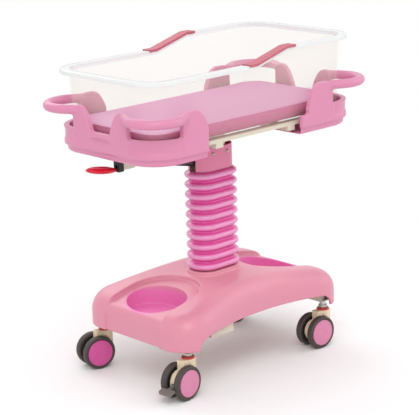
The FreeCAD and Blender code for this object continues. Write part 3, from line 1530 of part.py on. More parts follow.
def check():
    for obj in doc.Objects:
        if "Invalid" in obj.State or "Error" in obj.State:
            raise RuntimeError(f"{obj.Name} did not recompute: {obj.State}")
    for name, obj in NODES.items():
        if obj.Shape.isNull() or not obj.Shape.isValid() or not obj.Shape.Solids:
            raise RuntimeError(f"{name} has no valid solid")


def write():
    os.makedirs("parts", exist_ok=True)
    for name, obj in NODES.items():
        obj.Shape.exportStep(f"parts/{name}.step")
        box_of = obj.Shape.BoundBox
        print(f"{name}: {len(obj.Shape.Solids)} solids, {obj.Shape.Volume / 1000:.1f} cm3, "
              f"x {box_of.XMin:.1f}..{box_of.XMax:.1f}, y {box_of.YMin:.1f}..{box_of.YMax:.1f}, "
              f"z {box_of.ZMin:.1f}..{box_of.ZMax:.1f}")


build()
check()
write()
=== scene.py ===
# %% [markdown]
# # A hospital bassinet, dressed for looks
# The construction comes packed from CAD: every part has a name, a place and a body it moves with.
# This lesson puts softer mouldings, a padded mattress, a rubber bellows and real finishes around
# it. Lengths are in metres, +X points to the head end, +Y to the far side and +Z up.

# %% Load the construction
import json
import math

import bpy
from mathutils import Matrix, Vector

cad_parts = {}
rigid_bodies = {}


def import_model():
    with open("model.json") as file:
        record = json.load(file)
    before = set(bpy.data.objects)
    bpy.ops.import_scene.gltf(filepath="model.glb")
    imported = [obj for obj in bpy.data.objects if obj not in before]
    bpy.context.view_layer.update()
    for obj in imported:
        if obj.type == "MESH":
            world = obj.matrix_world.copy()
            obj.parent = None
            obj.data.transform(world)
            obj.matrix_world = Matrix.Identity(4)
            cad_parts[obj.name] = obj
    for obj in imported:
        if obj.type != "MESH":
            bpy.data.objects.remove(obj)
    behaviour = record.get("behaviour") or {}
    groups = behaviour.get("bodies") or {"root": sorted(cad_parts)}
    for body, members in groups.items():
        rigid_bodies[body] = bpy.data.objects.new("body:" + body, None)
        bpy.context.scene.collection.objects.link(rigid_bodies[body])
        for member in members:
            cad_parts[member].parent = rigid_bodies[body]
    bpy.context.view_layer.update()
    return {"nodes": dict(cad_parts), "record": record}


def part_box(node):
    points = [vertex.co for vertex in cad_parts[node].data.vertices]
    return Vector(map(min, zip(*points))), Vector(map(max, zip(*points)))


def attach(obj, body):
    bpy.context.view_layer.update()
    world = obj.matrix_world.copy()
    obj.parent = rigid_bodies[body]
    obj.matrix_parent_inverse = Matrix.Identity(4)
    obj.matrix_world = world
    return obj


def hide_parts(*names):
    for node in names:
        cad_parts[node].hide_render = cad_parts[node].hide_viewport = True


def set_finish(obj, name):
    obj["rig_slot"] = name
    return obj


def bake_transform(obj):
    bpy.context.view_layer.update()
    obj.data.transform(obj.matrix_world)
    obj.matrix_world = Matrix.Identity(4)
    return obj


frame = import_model()

# %% [markdown]
# ## A few hand movements
# Blender's operators act on whatever is selected, so each step starts by selecting just one piece.
# Inside a mesh, points, edges or faces are picked by where they are, which is how a person would
# pick them with a box or a click.

# %% Selecting and finishing
def only(piece):
    """Select this piece alone and make it the active one."""
    if bpy.context.object and bpy.context.object.mode != "OBJECT":
        bpy.ops.object.mode_set(mode="OBJECT")
    bpy.ops.object.select_all(action="DESELECT")
    piece.select_set(True)
    bpy.context.view_layer.objects.active = piece
    return piece


def pick(piece, test, kind="FACE"):
    """Open the piece in edit mode with those faces, edges or points chosen that pass the test."""
    only(piece)
    mesh = piece.data
    groups = {"VERT": mesh.vertices, "EDGE": mesh.edges, "FACE": mesh.polygons}
    for group in groups.values():
        group.foreach_set("select", [False] * len(group))
    for item in groups[kind]:
        if kind == "VERT":
            middle = item.co
        elif kind == "EDGE":
            middle = (mesh.vertices[item.vertices[0]].co + mesh.vertices[item.vertices[1]].co) / 2
        else:
            middle = item.center
        item.select = bool(test(middle, item))
    choice = tuple(kind == each for each in ("VERT", "EDGE", "FACE"))
    bpy.context.tool_settings.mesh_select_mode = choice
    bpy.ops.object.mode_set(mode="EDIT")


def edit_all(piece):
    """Open the piece in edit mode with all of it selected."""
    only(piece)
    bpy.context.tool_settings.mesh_select_mode = (True, False, False)
    bpy.ops.object.mode_set(mode="EDIT")
    bpy.ops.mesh.select_all(action="SELECT")


def close_edit():
    bpy.ops.object.mode_set(mode="OBJECT")


def finish_with(piece, kind, **settings):
    """Add a modifier, set it and apply it."""
    only(piece)
    modifier = piece.modifiers.new(kind.title(), kind)
    for name, value in settings.items():
        setattr(modifier, name, value)
    bpy.ops.object.modifier_apply(modifier=modifier.name)
    return piece


SOFT_ANGLE = 35


def smooth(piece, angle=SOFT_ANGLE):
    """Shade the piece softly wherever two faces meet at less than the angle, in degrees."""
    only(piece)
    bpy.ops.object.shade_smooth_by_angle(angle=math.radians(angle))
    return piece


def settle(piece):
    """Bring the piece's place into its mesh, so that its object sits at the origin."""
    only(piece)
    bpy.ops.object.transform_apply(location=True, rotation=True, scale=True)
    return piece


def report(piece):
    """Print how many faces the piece has and the box it fills, in millimetres."""
    corners = [Vector(c) for c in piece.bound_box]
    low = [round(min(c[k] for c in corners) * 1000, 1) for k in range(3)]
    high = [round(max(c[k] for c in corners) * 1000, 1) for k in range(3)]
    print(piece.name, "faces", len(piece.data.polygons), "mm", low, high)
    return piece


MERGE_GAP = 0.00002


def taken_from(node, name):
    """A merged copy of a CAD part's mesh, as the start of a softer piece."""
    piece = bpy.data.objects.new(name, frame["nodes"][node].data.copy())
    bpy.context.scene.collection.objects.link(piece)
    piece.data.materials.clear()
    only(piece)
    bpy.ops.mesh.customdata_custom_splitnormals_clear()
    edit_all(piece)
    bpy.ops.mesh.remove_doubles(threshold=MERGE_GAP)
    close_edit()
    return piece


def cut_away(piece, tool):
    """Take the tool's volume out of the piece."""
    finish_with(piece, "BOOLEAN", operation="DIFFERENCE", solver="EXACT", object=tool)
    bpy.data.objects.remove(tool)


# %% [markdown]
# ## The soft mouldings
# The base cover and the two end trays are big hollow plastic mouldings. Their edges are never
# sharp: the plastic shrinks and the mould is polished, so every edge is a little round. Bevelling
# hundreds of meeting edges by hand would tear the mesh where curved faces meet. Rebuilding the
# surface from small cubes and then relaxing it rounds every edge by the same amount at once.

# %% One way to soften a moulding
RELAX = 0.5


def softened(piece, cube, rounds, keep):
    """Rebuild the surface from small cubes, relax it and thin out its flat places."""
    only(piece)
    piece.data.remesh_voxel_size = cube
    bpy.ops.object.voxel_remesh()
    finish_with(piece, "SMOOTH", factor=RELAX, iterations=rounds)
    if keep < 1:
        finish_with(piece, "DECIMATE", ratio=keep)
    only(piece)
    bpy.ops.object.shade_smooth()
    return piece


# %% [markdown]
# ## The base cover
# The cover hides the steel frame and carries a bowl at each end. It is one shell, open below. The
# cubes are smaller than its 4 mm wall, or the wall would fall to pieces. Each point also keeps how
# far it faces up, because the finish of the bowls' lips asks for it later.

# %% Base cover
COVER_CUBE, COVER_ROUNDS, COVER_KEEP = 0.0025, 6, 0.55
cover = taken_from("base_cover", "cover_moulding")
softened(cover, COVER_CUBE, COVER_ROUNDS, COVER_KEEP)
facing = cover.data.attributes.new("facing_up", "FLOAT", "POINT")
for vertex, value in zip(cover.data.vertices, facing.data):
    value.value = vertex.normal.z
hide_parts("base_cover")
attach(cover, "base")
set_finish(cover, "moulded_pink")
report(cover)

# %% [markdown]
# ## The end trays
# Each tray has two rounded grips, posts that hold the basin and a low wall with a dip between the
# posts. Under the dip the wall has a shallow dent, shaped like a lens. It is cut with a flattened
# ball before the surface is softened, so its rim comes out rounded like the rest.

# %% End trays
TRAY_CUBE, TRAY_ROUNDS = 0.0024, 16
TRAY_END = 0.390
DENT_HALF = (0.006, 0.042, 0.009)
DENT_HEIGHT = 0.689


def tray_moulding(node, name, side):
    """One tray, at the foot end for side -1 or at the head end for side 1."""
    tray = taken_from(node, name)
    dent = (side * TRAY_END, 0, DENT_HEIGHT)
    bpy.ops.mesh.primitive_uv_sphere_add(segments=32, ring_count=16, radius=1, location=dent,
                                         scale=DENT_HALF)
    cut_away(tray, settle(bpy.context.object))
    softened(tray, TRAY_CUBE, TRAY_ROUNDS, keep=1)
    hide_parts(node)
    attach(tray, "deck")
    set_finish(tray, "moulded_pink")
    report(tray)


tray_moulding("foot_tray", "foot_tray_moulding", -1)
tray_moulding("head_tray", "head_tray_moulding", 1)

# %% [markdown]
# ## The bellows
# A folded rubber tube hides the column and lets it grow and shrink. Seen from above it is a
# stadium: two half circles joined by straight sides. It is drawn once as a flat face, pulled up
# fold by fold and made wider and narrower on the way. A list of steps is easy to read and change.

# %% The bellows' outline from above
BELLOWS_LOW, BELLOWS_HIGH = 0.264, 0.548
CORE = (0.069, 0.041)
NEARLY_ROUND, CORNER_STEPS, CLOSE_POINTS = 0.998, 10, 0.0002


def stadium_face(half_length, half_width, height):
    """A flat stadium: an oblong face whose four corners are rounded to half its width."""
    bpy.ops.mesh.primitive_plane_add(size=2, location=(0, 0, height))
    piece = bpy.context.object
    piece.scale = (half_length, half_width, 1)
    settle(piece)
    edit_all(piece)
    bpy.ops.mesh.bevel(offset=half_width * NEARLY_ROUND, segments=CORNER_STEPS,
                       affect="VERTICES", clamp_overlap=True)
    bpy.ops.mesh.remove_doubles(threshold=CLOSE_POINTS)
    close_edit()
    return settle(piece)


bellows = stadium_face(*CORE, BELLOWS_LOW)
bellows.name = "rubber_bellows"
print("outline points", len(bellows.data.vertices))

# %% [markdown]
# The tube's side is a row of equal folds. One fold is written down as a few points from its middle:
# how far each stands out from the core, and how far up it is as a share of the pitch. The same
# points, turned over, make the fold's lower half.

# %% The bellows' folds
FOLDS, LEAD, FOLD_REACH = 10, 0.0124, 0.0114
PITCH = (BELLOWS_HIGH - BELLOWS_LOW - 2 * LEAD) / (FOLDS - 1)
FOLD = [(0.0110, 0.10), (0.0092, 0.20), (0.0055, 0.29), (0.0018, 0.37), (0.0001, 0.46)]
TOP_ROOM = 0.001


def fold_steps():
    """All (reach, height) steps of the tube's side, from below to above."""
    steps = [(0.0, BELLOWS_LOW)]
    for k in range(FOLDS):
        middle = BELLOWS_LOW + LEAD + k * PITCH
        steps += [(out, middle - share * PITCH) for out, share in reversed(FOLD)]
        steps += [(FOLD_REACH, middle)]
        steps += [(out, middle + share * PITCH) for out, share in FOLD]
    steps = [s for s in steps if BELLOWS_LOW <= s[1] < BELLOWS_HIGH - TOP_ROOM]
    return steps + [(0.0, BELLOWS_HIGH)]


print("pitch mm", round(PITCH * 1000, 2), "steps", len(fold_steps()))

# %% [markdown]
# Now the face is pulled up step by step, and widened or narrowed at each. The two end faces go,
# the sheet gets the rubber's thickness, and one round of subdivision softens the folds. Each point
# keeps how far out it stands, so that the rubber can be lighter on the folds than between them.

# %% Bellows
RUBBER_THICK, END_FACE_MIDDLE = 0.0022, 0.02
edit_all(bellows)
bpy.context.tool_settings.mesh_select_mode = (False, False, True)
reach, level = 0.0, BELLOWS_LOW
for out, height in fold_steps()[1:]:
    bpy.ops.mesh.extrude_region_move(TRANSFORM_OT_translate={"value": (0, 0, height - level)})
    grow = [(CORE[k] + out) / (CORE[k] + reach) for k in (0, 1)]
    bpy.ops.transform.resize(value=(grow[0], grow[1], 1), center_override=(0, 0, height))
    reach, level = out, height
close_edit()
pick(bellows, lambda m, f: abs(f.normal.z) > 0.9 and math.hypot(m.x, m.y) < END_FACE_MIDDLE)
bpy.ops.mesh.delete(type="FACE")
close_edit()
finish_with(bellows, "SOLIDIFY", thickness=RUBBER_THICK, offset=-1)
finish_with(bellows, "SUBSURF", levels=1, render_levels=1)
only(bellows)
bpy.ops.object.shade_smooth()
depth = bellows.data.attributes.new("fold_depth", "FLOAT", "POINT")
for vertex, value in zip(bellows.data.vertices, depth.data):
    spine = max(0.0, abs(vertex.co.x) - (CORE[0] - CORE[1]))
    value.value = (math.hypot(spine, vertex.co.y) - CORE[1]) / FOLD_REACH
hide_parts("bellows")
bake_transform(bellows)
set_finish(bellows, "bellows_rubber")
report(bellows)

# %% [markdown]
# ## The clear basin
# The basin is pressed from clear sheet and keeps its CAD shape, because any ripple in a clear wall
# shows at once. Only its edges are rounded by a narrow bevel. The rolled rim is thicker than the
# walls and looks milkier, which its finish takes care of further down.

# %% Basin
SHARP_ANGLE = 40
BASIN_EDGE = 0.0012


def rounded_edges(piece, width, steps):
    """Round off every edge that is sharper than SHARP_ANGLE."""
    finish_with(piece, "BEVEL", width=width, segments=steps, limit_method="ANGLE",
                angle_limit=math.radians(SHARP_ANGLE), harden_normals=False)
    return smooth(piece)


basin = rounded_edges(taken_from("basin", "clear_basin"), BASIN_EDGE, 2)
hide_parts("basin")
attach(basin, "basin")
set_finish(basin, "basin_clear")
report(basin)

# %% [markdown]
# ## The rim strips
# Where the rim steps up, a soft ribbed strip is pushed over it on both long sides. The ribs run
# across the strip. A weight on each point, low on a rib and high between two, tells a Displace
# modifier how far to push that point in, so the ribs are real and not painted on.

# %% Rim strips
STRIP_CUBE, STRIP_ROUNDS, STRIP_KEEP = 0.0011, 3, 0.5
RIB_PITCH, RIB_RISE = 0.008, 0.0007
strips = taken_from("rim_strips", "soft_strips")
softened(strips, STRIP_CUBE, STRIP_ROUNDS, keep=1)
ribs = strips.vertex_groups.new(name="ribs")
for vertex in strips.data.vertices:
    dip = 0.5 + 0.5 * math.sin(2 * math.pi * vertex.co.x / RIB_PITCH)
    ribs.add([vertex.index], dip, "REPLACE")
finish_with(strips, "DISPLACE", strength=-RIB_RISE, mid_level=0, direction="NORMAL",
            vertex_group="ribs")
finish_with(strips, "DECIMATE", ratio=STRIP_KEEP)
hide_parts("rim_strips")
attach(strips, "basin")
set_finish(strips, "strip_rubber")
report(strips)

# %% [markdown]
# ## The mattress
# A foam pad in a smooth wipe-clean cover. Foam pushes the cover out a little between its edges, so
# the top is not a plane. The pad is rebuilt from small cubes, blown up by a short cloth simulation
# and held back so that it stays inside the basin.

# %% The foam before it swells
MATTRESS_ROOM, MATTRESS_CORNER, MATTRESS_CUBE = 0.0015, 0.048, 0.0045
NEAR = 0.01
low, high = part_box("mattress")
middle, half = (low + high) / 2, (high - low) / 2
foam = [half[k] - MATTRESS_ROOM for k in range(3)]
bpy.ops.mesh.primitive_cube_add(size=2, location=middle, scale=foam)
mattress = settle(bpy.context.object)
mattress.name = "padded_mattress"
pick(mattress, lambda m, e: abs(abs(m.x) - half.x) < NEAR and abs(abs(m.y) - half.y) < NEAR, "EDGE")
bpy.ops.mesh.bevel(offset=MATTRESS_CORNER, segments=10, affect="EDGES")
close_edit()
mattress.data.remesh_voxel_size = MATTRESS_CUBE
only(mattress)
bpy.ops.object.voxel_remesh()
report(mattress)

# %% [markdown]
# Cloth with pressure behaves like a cover that is blown up from inside. Without gravity it swells
# evenly, and a few frames are enough. How far a point may move is capped afterwards, and no point
# may leave the mattress's own box, so the pad stays inside the basin.

# %% Mattress
MATTRESS_SWELL, SWELL_FRAMES = 0.0025, 12
PRESSURE, CLOTH_QUALITY = 4, 4
MATTRESS_ANGLE = 38
still = [v.co.copy() for v in mattress.data.vertices]


def swell(piece, frames):
    """Blow the piece up with a short cloth simulation and keep the shape it ends with."""
    cloth = piece.modifiers.new("Cloth", "CLOTH")
    cloth.settings.use_pressure = True
    cloth.settings.uniform_pressure_force = PRESSURE
    cloth.settings.effector_weights.gravity = 0
    cloth.settings.quality = CLOTH_QUALITY
    cloth.collision_settings.use_self_collision = False
    cloth.point_cache.frame_start, cloth.point_cache.frame_end = 1, frames
    for moment in range(1, frames + 1):
        bpy.context.scene.frame_set(moment)
    only(piece)
    bpy.ops.object.modifier_apply(modifier=cloth.name)
    bpy.context.scene.frame_set(1)


swell(mattress, SWELL_FRAMES)
for vertex, start in zip(mattress.data.vertices, still):
    move = vertex.co - start
    if move.length > MATTRESS_SWELL:
        move = move.normalized() * MATTRESS_SWELL
    place = start + move
    vertex.co = [min(max(place[k], low[k]), high[k]) for k in range(3)]
finish_with(mattress, "SMOOTH", factor=RELAX, iterations=2)
smooth(mattress, MATTRESS_ANGLE)
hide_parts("mattress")
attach(mattress, "mattress")
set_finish(mattress, "mattress_cover")
report(mattress)

# %% [markdown]
# ## The sleeve, the paddle and the brake pedals
# The pink sleeve round the column's head, the red paddle under the foot end and the two grey pedals
# are small mouldings. They are rebuilt from finer cubes, so their edges turn soft but keep their
# shape.

# %% Sleeve, paddle and pedals
SLEEVE_CUBE, FINE_CUBE = 0.0011, 0.0009


def soft_part(node, name, body, slot_name, cube, rounds):
    """A softened copy of a small CAD part, which then stands for it."""
    piece = softened(taken_from(node, name), cube, rounds, 1)
    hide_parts(node)
    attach(piece, body)
    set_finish(piece, slot_name)
    return piece


report(soft_part("column_sleeve", "soft_sleeve", "column", "sleeve_pink", SLEEVE_CUBE, 4))
report(soft_part("release_paddle", "soft_paddle", "lever", "lever_red", FINE_CUBE, 4))
for corner in ("foot_near", "head_far"):
    report(soft_part(f"caster_{corner}_brake_pedal", f"soft_pedal_{corner}", f"pedal_{corner}",
                     "pedal_grey", FINE_CUBE, 5))

# %% [markdown]
# ## The casters
# Each caster has two wheels on one axle, with a beige hood between them. A wheel is a grey rubber
# tyre round a pink disc, and its inner side is dark. One tyre, one disc and one inner web are drawn
# as a small section, turned round the axle by Spin and then copied to all eight wheels.

# %% One wheel, drawn as a section and spun
WHEEL_RADIUS, TYRE_WIDTH, TYRE_DEPTH = 0.047, 0.0195, 0.0095
HALF_GAP = 0.013
DISC = WHEEL_RADIUS - TYRE_DEPTH
TURN_STEPS, WHEEL_MERGE, WHEEL_ANGLE = 56, 0.00005, 50


def spun_ring(name, inner, outer, near, far, corner, steps=4):
    """A rectangle of the section, its corners rounded, turned once round the Y axis.

    inner and outer are its radii, near and far its reach along the axle from the caster's middle.
    """
    bpy.ops.mesh.primitive_plane_add(size=1, location=((inner + outer) / 2, (near + far) / 2, 0))
    ring = bpy.context.object
    ring.name = name
    ring.scale = (outer - inner, far - near, 1)
    settle(ring)
    edit_all(ring)
    bpy.ops.mesh.bevel(offset=corner, segments=steps, affect="VERTICES")
    bpy.ops.mesh.select_all(action="SELECT")
    bpy.ops.mesh.delete(type="ONLY_FACE")
    bpy.ops.mesh.select_all(action="SELECT")
    bpy.ops.mesh.spin(steps=TURN_STEPS, angle=2 * math.pi, center=(0, 0, 0), axis=(0, 1, 0))
    bpy.ops.mesh.select_all(action="SELECT")
    bpy.ops.mesh.remove_doubles(threshold=WHEEL_MERGE)
    bpy.ops.mesh.normals_make_consistent(inside=False)
    close_edit()
    return smooth(ring, WHEEL_ANGLE)


OUTSIDE, DISC_BACK = HALF_GAP + TYRE_WIDTH, HALF_GAP + 0.010
tyre = spun_ring("tyre", DISC - 0.001, WHEEL_RADIUS, HALF_GAP, OUTSIDE, corner=0.0050)
web = spun_ring("inner_web", 0.004, DISC - 0.0012, HALF_GAP + 0.003, HALF_GAP + 0.008,
                corner=0.001, steps=2)
edge = spun_ring("disc_edge", DISC - 0.0055, DISC - 0.0004, DISC_BACK, OUTSIDE + 0.0012,
                 corner=0.0018)
face = spun_ring("disc_face", 0.0001, DISC - 0.0050, DISC_BACK, OUTSIDE + 0.0007,
                 corner=0.0008, steps=2)
print("one wheel", [len(p.data.polygons) for p in (tyre, web, edge, face)])

# %% [markdown]
# ## All eight wheels
# The casters stand at the four corners, each turned a little differently, as they stop when the
# bassinet is pushed. The drawn wheel is copied twice to each axle, once turned half round, and the
# two copies are joined, since they roll together. The hood between them is a softened CAD part.

# %% Eight wheels
# Which side along X, which side along Y, and how far the caster is turned, in degrees.
CORNERS = {"foot_near": (-1, -1, 6), "foot_far": (-1, 1, -14),
           "head_near": (1, -1, -3), "head_far": (1, 1, 0)}
CASTER_X, CASTER_Y, TRAIL = 0.265, 0.172, 0.032
HOOD_CUBE = 0.0012


def copies(piece, name, corner):
    """The piece on both wheels of one caster, as a single mesh."""
    sx, sy, yaw = CORNERS[corner]
    stand = (Matrix.Translation((sx * CASTER_X, sy * CASTER_Y, 0))
             @ Matrix.Rotation(math.radians(yaw), 4, "Z"))
    axle = Matrix.Translation((-TRAIL, 0, WHEEL_RADIUS))
    made = []
    for turn in (0, math.pi):
        copy = bpy.data.objects.new(f"{name}_{corner}", piece.data.copy())
        copy.data.transform(stand @ axle @ Matrix.Rotation(turn, 4, "Z"))
        bpy.context.scene.collection.objects.link(copy)
        made.append(copy)
    only(made[0])
    made[1].select_set(True)
    bpy.ops.object.join()
    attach(made[0], f"wheels_{corner}")
    return made[0]


for corner in CORNERS:
    tyres = copies(tyre, "rubber_tyres", corner)
    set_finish(tyres, "tyre_grey")
    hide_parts(f"caster_{corner}_tyres")
    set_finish(copies(web, "inner_webs", corner), "black_plastic")
    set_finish(copies(edge, "disc_edges", corner), "hub_pink")
    discs = copies(face, "disc_faces", corner)
    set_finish(discs, "hub_pink")
    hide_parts(f"caster_{corner}_hubs")
    soft_part(f"caster_{corner}_hood", f"soft_hood_{corner}", f"swivel_{corner}", "hood_beige",
              HOOD_CUBE, 4)
for part in (tyre, web, edge, face):
    bpy.data.objects.remove(part)
print("wheels", 2 * len(CORNERS))

# %% [markdown]
# ## The lock nuts
# A flat hexagonal nut on each caster's stem pulls it up against the frame. It is a six-sided
# cylinder with its top and bottom rims slightly bevelled.

# %% Lock nuts
NUT_LOW, NUT_HIGH, NUT_RADIUS, NUT_EDGE = 0.1105, 0.1185, 0.0135, 0.0007
for corner, (sx, sy, yaw) in CORNERS.items():
    place = (sx * CASTER_X, sy * CASTER_Y, (NUT_LOW + NUT_HIGH) / 2)
    bpy.ops.mesh.primitive_cylinder_add(vertices=6, radius=NUT_RADIUS, depth=NUT_HIGH - NUT_LOW,
                                        location=place)
    nut = settle(bpy.context.object)
    nut.name = f"lock_nut_{corner}"
    rounded_edges(nut, NUT_EDGE, 2)
    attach(nut, "base")
    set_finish(nut, "zinc_steel")
report(nut)

# %% [markdown]
# ## The caps of the cross tubes
# Two flat steel tubes carry the deck's rails. A cap is pressed into each open end, so that nobody
# is cut by the sheet's edge. A cap is a thin block with rounded edges.

# %% Tube caps
CAP_THICK, CAP_INSET, CAP_EDGE = 0.003, 0.0004, 0.001
TUBE_WIDTH = 0.026
tube_low, tube_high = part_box("deck_crossbars")
cap_height = tube_high.z - tube_low.z - 2 * CAP_INSET
for sx in (-1, 1):
    for sy in (-1, 1):
        end = tube_high.y if sy > 0 else tube_low.y
        middle_x = tube_high.x - TUBE_WIDTH / 2 if sx > 0 else tube_low.x + TUBE_WIDTH / 2
        place = (middle_x, end - sy * (CAP_THICK / 2 - CAP_INSET / 2),
                 (tube_low.z + tube_high.z) / 2)
        bpy.ops.mesh.primitive_cube_add(size=1, location=place,
                                        scale=(TUBE_WIDTH - 2 * CAP_INSET, CAP_THICK, cap_height))
        cap = settle(bpy.context.object)
        cap.name = f"tube_cap_{'head' if sx > 0 else 'foot'}_{'far' if sy > 0 else 'near'}"
        rounded_edges(cap, CAP_EDGE, 3)
        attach(cap, "deck")
        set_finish(cap, "frame_steel")
report(cap)

# %% [markdown]
# ## The finishes
# A finish is built from small sums on shader sockets. This class lets them be written as plain
# arithmetic, so a line of the recipe reads like the thought behind it.

# %% Arithmetic on sockets
class Amount:
    """One number inside a shader, which can be added to, scaled and limited."""

    def __init__(self, finish, socket):
        self.finish, self.socket = finish, socket

    def sum(self, operation, *given):
        """One Math node on the given amounts or numbers."""
        made = self.finish.node("ShaderNodeMath", {"operation": operation}, given)
        return Amount(self.finish, made[0])

    def __add__(self, other):
        return self.sum("ADD", self, other)

    def __radd__(self, other):
        return self.sum("ADD", other, self)

    def __sub__(self, other):
        return self.sum("SUBTRACT", self, other)

    def __rsub__(self, other):
        return self.sum("SUBTRACT", other, self)

    def __mul__(self, other):
        return self.sum("MULTIPLY", self, other)

    def __rmul__(self, other):
        return self.sum("MULTIPLY", other, self)

    def __truediv__(self, other):
        return self.sum("DIVIDE", self, other)

    def __rtruediv__(self, other):
        return self.sum("DIVIDE", other, self)

    def limited(self, low=0.0, high=1.0):
        return self.sum("MAXIMUM", self.sum("MINIMUM", self, high), low)

    def power(self, exponent):
        return self.sum("POWER", self, exponent)

    def size(self):
        """The amount without its sign."""
        return self.sum("ABSOLUTE", self)

    def at_least(self, low):
        return self.sum("MAXIMUM", self, low)

    def sine(self):
        return self.sum("SINE", self)

    def root(self):
        return self.sum("SQRT", self)

    def eased(self, start, end):
        """0 before start, 1 after end, and soft in between."""
        share = ((self - start) / (end - start)).limited()
        return share * share * (3 - 2 * share)


# %% [markdown]
# Every finish starts from one Principled shader. What is the same all over the piece is a plain
# number on its sockets, and only what changes from place to place is fed in by nodes. The patterns
# read the piece's own coordinates, so they stay on it when it moves.

# %% One finish
class Finish:
    """One material. Its base is a Principled shader with plain numbers on it."""

    def __init__(self, name, **plain):
        self.material = bpy.data.materials.new(name)
        self.material.use_nodes = True
        self.tree = self.material.node_tree
        self.shader = self.tree.nodes["Principled BSDF"]
        for key, value in plain.items():
            self.shader.inputs[key.replace("_", " ")].default_value = value

    def node(self, kind, settings=(), values=()):
        """Add any node, set it, feed its inputs by number or name and return its outputs."""
        made = self.tree.nodes.new(kind)
        for key, value in dict(settings).items():
            setattr(made, key, value)
        pairs = values.items() if isinstance(values, dict) else enumerate(values)
        for key, value in pairs:
            if isinstance(value, Amount):
                value = value.socket
            if isinstance(value, bpy.types.NodeSocket):
                self.tree.links.new(value, made.inputs[key])
            else:
                made.inputs[key].default_value = value
        return made.outputs

    def place(self):
        """The point's own coordinates on its piece, in metres, as a vector socket."""
        return self.node("ShaderNodeTexCoord")["Object"]

    def parts(self, vector):
        """A vector's X, Y and Z as amounts."""
        return [Amount(self, s) for s in self.node("ShaderNodeSeparateXYZ", values=[vector])]

    def noise(self, scale, detail=2.0, stretch=(1, 1, 1)):
        """Soft noise around 0.5, one unit of it being 1 / scale metres long."""
        spot = self.node("ShaderNodeMapping", values={"Vector": self.place(), "Scale": stretch})[0]
        out = self.node("ShaderNodeTexNoise", {"noise_dimensions": "3D"},
                        {"Vector": spot, "Scale": scale, "Detail": detail})
        return Amount(self, out[0])

    def attribute(self, name):
        """A number that is stored on each point of the piece."""
        return Amount(self, self.node("ShaderNodeAttribute", {"attribute_name": name})["Fac"])

    def mix(self, share, first, second):
        """Between two colours; share 0 gives the first."""
        out = self.node("ShaderNodeMix", {"data_type": "RGBA", "blend_type": "MIX"},
                        {0: share, 6: first, 7: second})
        return out[2]

    def colour(self, value):
        self.feed("Base Color", value)

    def rough(self, value):
        self.feed("Roughness", value)

    def seen(self, value):
        """How much of the surface is seen; 0 lets everything behind it through."""
        self.feed("Alpha", value)

    def bump(self, height, distance, strength=1.0):
        out = self.node("ShaderNodeBump", values={"Height": height, "Distance": distance,
                                                   "Strength": strength})
        self.tree.links.new(out[0], self.shader.inputs["Normal"])

    def feed(self, name, value):
        if isinstance(value, Amount):
            value = value.socket
        if isinstance(value, bpy.types.NodeSocket):
            self.tree.links.new(value, self.shader.inputs[name])
        else:
            self.shader.inputs[name].default_value = value


def rgb(red, green, blue):
    """A screen colour, 0 to 255 each, as the linear colour the shader wants."""
    def linear(value):
        share = value / 255
        return share / 12.92 if share <= 0.04045 else ((share + 0.055) / 1.055) ** 2.4
    return (linear(red), linear(green), linear(blue), 1.0)


# %% [markdown]
# ## Plastic, rubber and paint
# The pink mouldings are coloured right through and have a fine satin grain. Deep in the bowls the
# pink light bounces between the walls and turns richer, so the colour there is laid in deeper too,
# but not on the lips, which face up. The base cover comes from another mould than the trays and is
# a little warmer. Its top lies in the deck's soft shade, so the pink is a little lighter there.

# %% Pink mouldings
TRAY_PINK, TRAY_CLOUD_PINK = rgb(215, 135, 169), rgb(219, 136, 176)
COVER_PINK, COVER_TOP_PINK = rgb(219, 140, 159), rgb(229, 155, 170)
DEEP_PINK = rgb(232, 120, 186)
BOWL_MIDDLE, BOWL_LENGTH, BOWL_WIDTH, BOWL_TOP = 0.218, 0.080, 0.100, 0.234
BOWL_EDGE, LIP_FACING = (0.94, 1.06), (0.70, 0.94)
COVER_TOP_FROM, COVER_TOP_FULL = 0.222, 0.250
COVER_TO_TRAY = (0.27, 0.60)
GRAIN = 0.0002


def moulded_pink():
    """The base cover and the trays."""
    f = Finish("moulded_pink", Specular_IOR_Level=0.45, Coat_Weight=0.25, Coat_Roughness=0.18)
    cloud = f.noise(9, 3)
    x, y, z = f.parts(f.place())
    along, across = (x.size() - BOWL_MIDDLE) / BOWL_LENGTH, y / BOWL_WIDTH
    inside = 1 - (along * along + across * across).eased(*BOWL_EDGE)
    below_lip = 1 - z.eased(BOWL_TOP - 0.022, BOWL_TOP - 0.002)
    lip = f.attribute("facing_up").eased(*LIP_FACING) * z.eased(BOWL_TOP - 0.030, BOWL_TOP - 0.024)
    deep = inside * below_lip * (1 - lip)
    cover = f.mix(z.eased(COVER_TOP_FROM, COVER_TOP_FULL), COVER_PINK, COVER_TOP_PINK)
    batch = f.mix(z.eased(*COVER_TO_TRAY), cover, TRAY_PINK)
    cloudy = f.mix((cloud - 0.35).limited() * 0.7, batch, TRAY_CLOUD_PINK)
    f.colour(f.mix(deep * 0.9, cloudy, DEEP_PINK))
    f.rough(0.38 + cloud * 0.1)
    f.bump(f.noise(900, 2), GRAIN, 0.12)
    return f.material


# %% [markdown]
# The sleeve is a bent and painted sheet. Its inner side and its cut top edge get a deeper red pink
# as painted shade, so the finish asks how far out a point is from the sleeve's middle line.

# %% Sleeve
SLEEVE_TOP, SLEEVE_STRAIGHT = 0.614, 0.028
SLEEVE_SKIN = (0.0386, 0.0400)
SLEEVE_PINK, SLEEVE_INSIDE_SHADE = rgb(226, 130, 166), rgb(200, 30, 80)


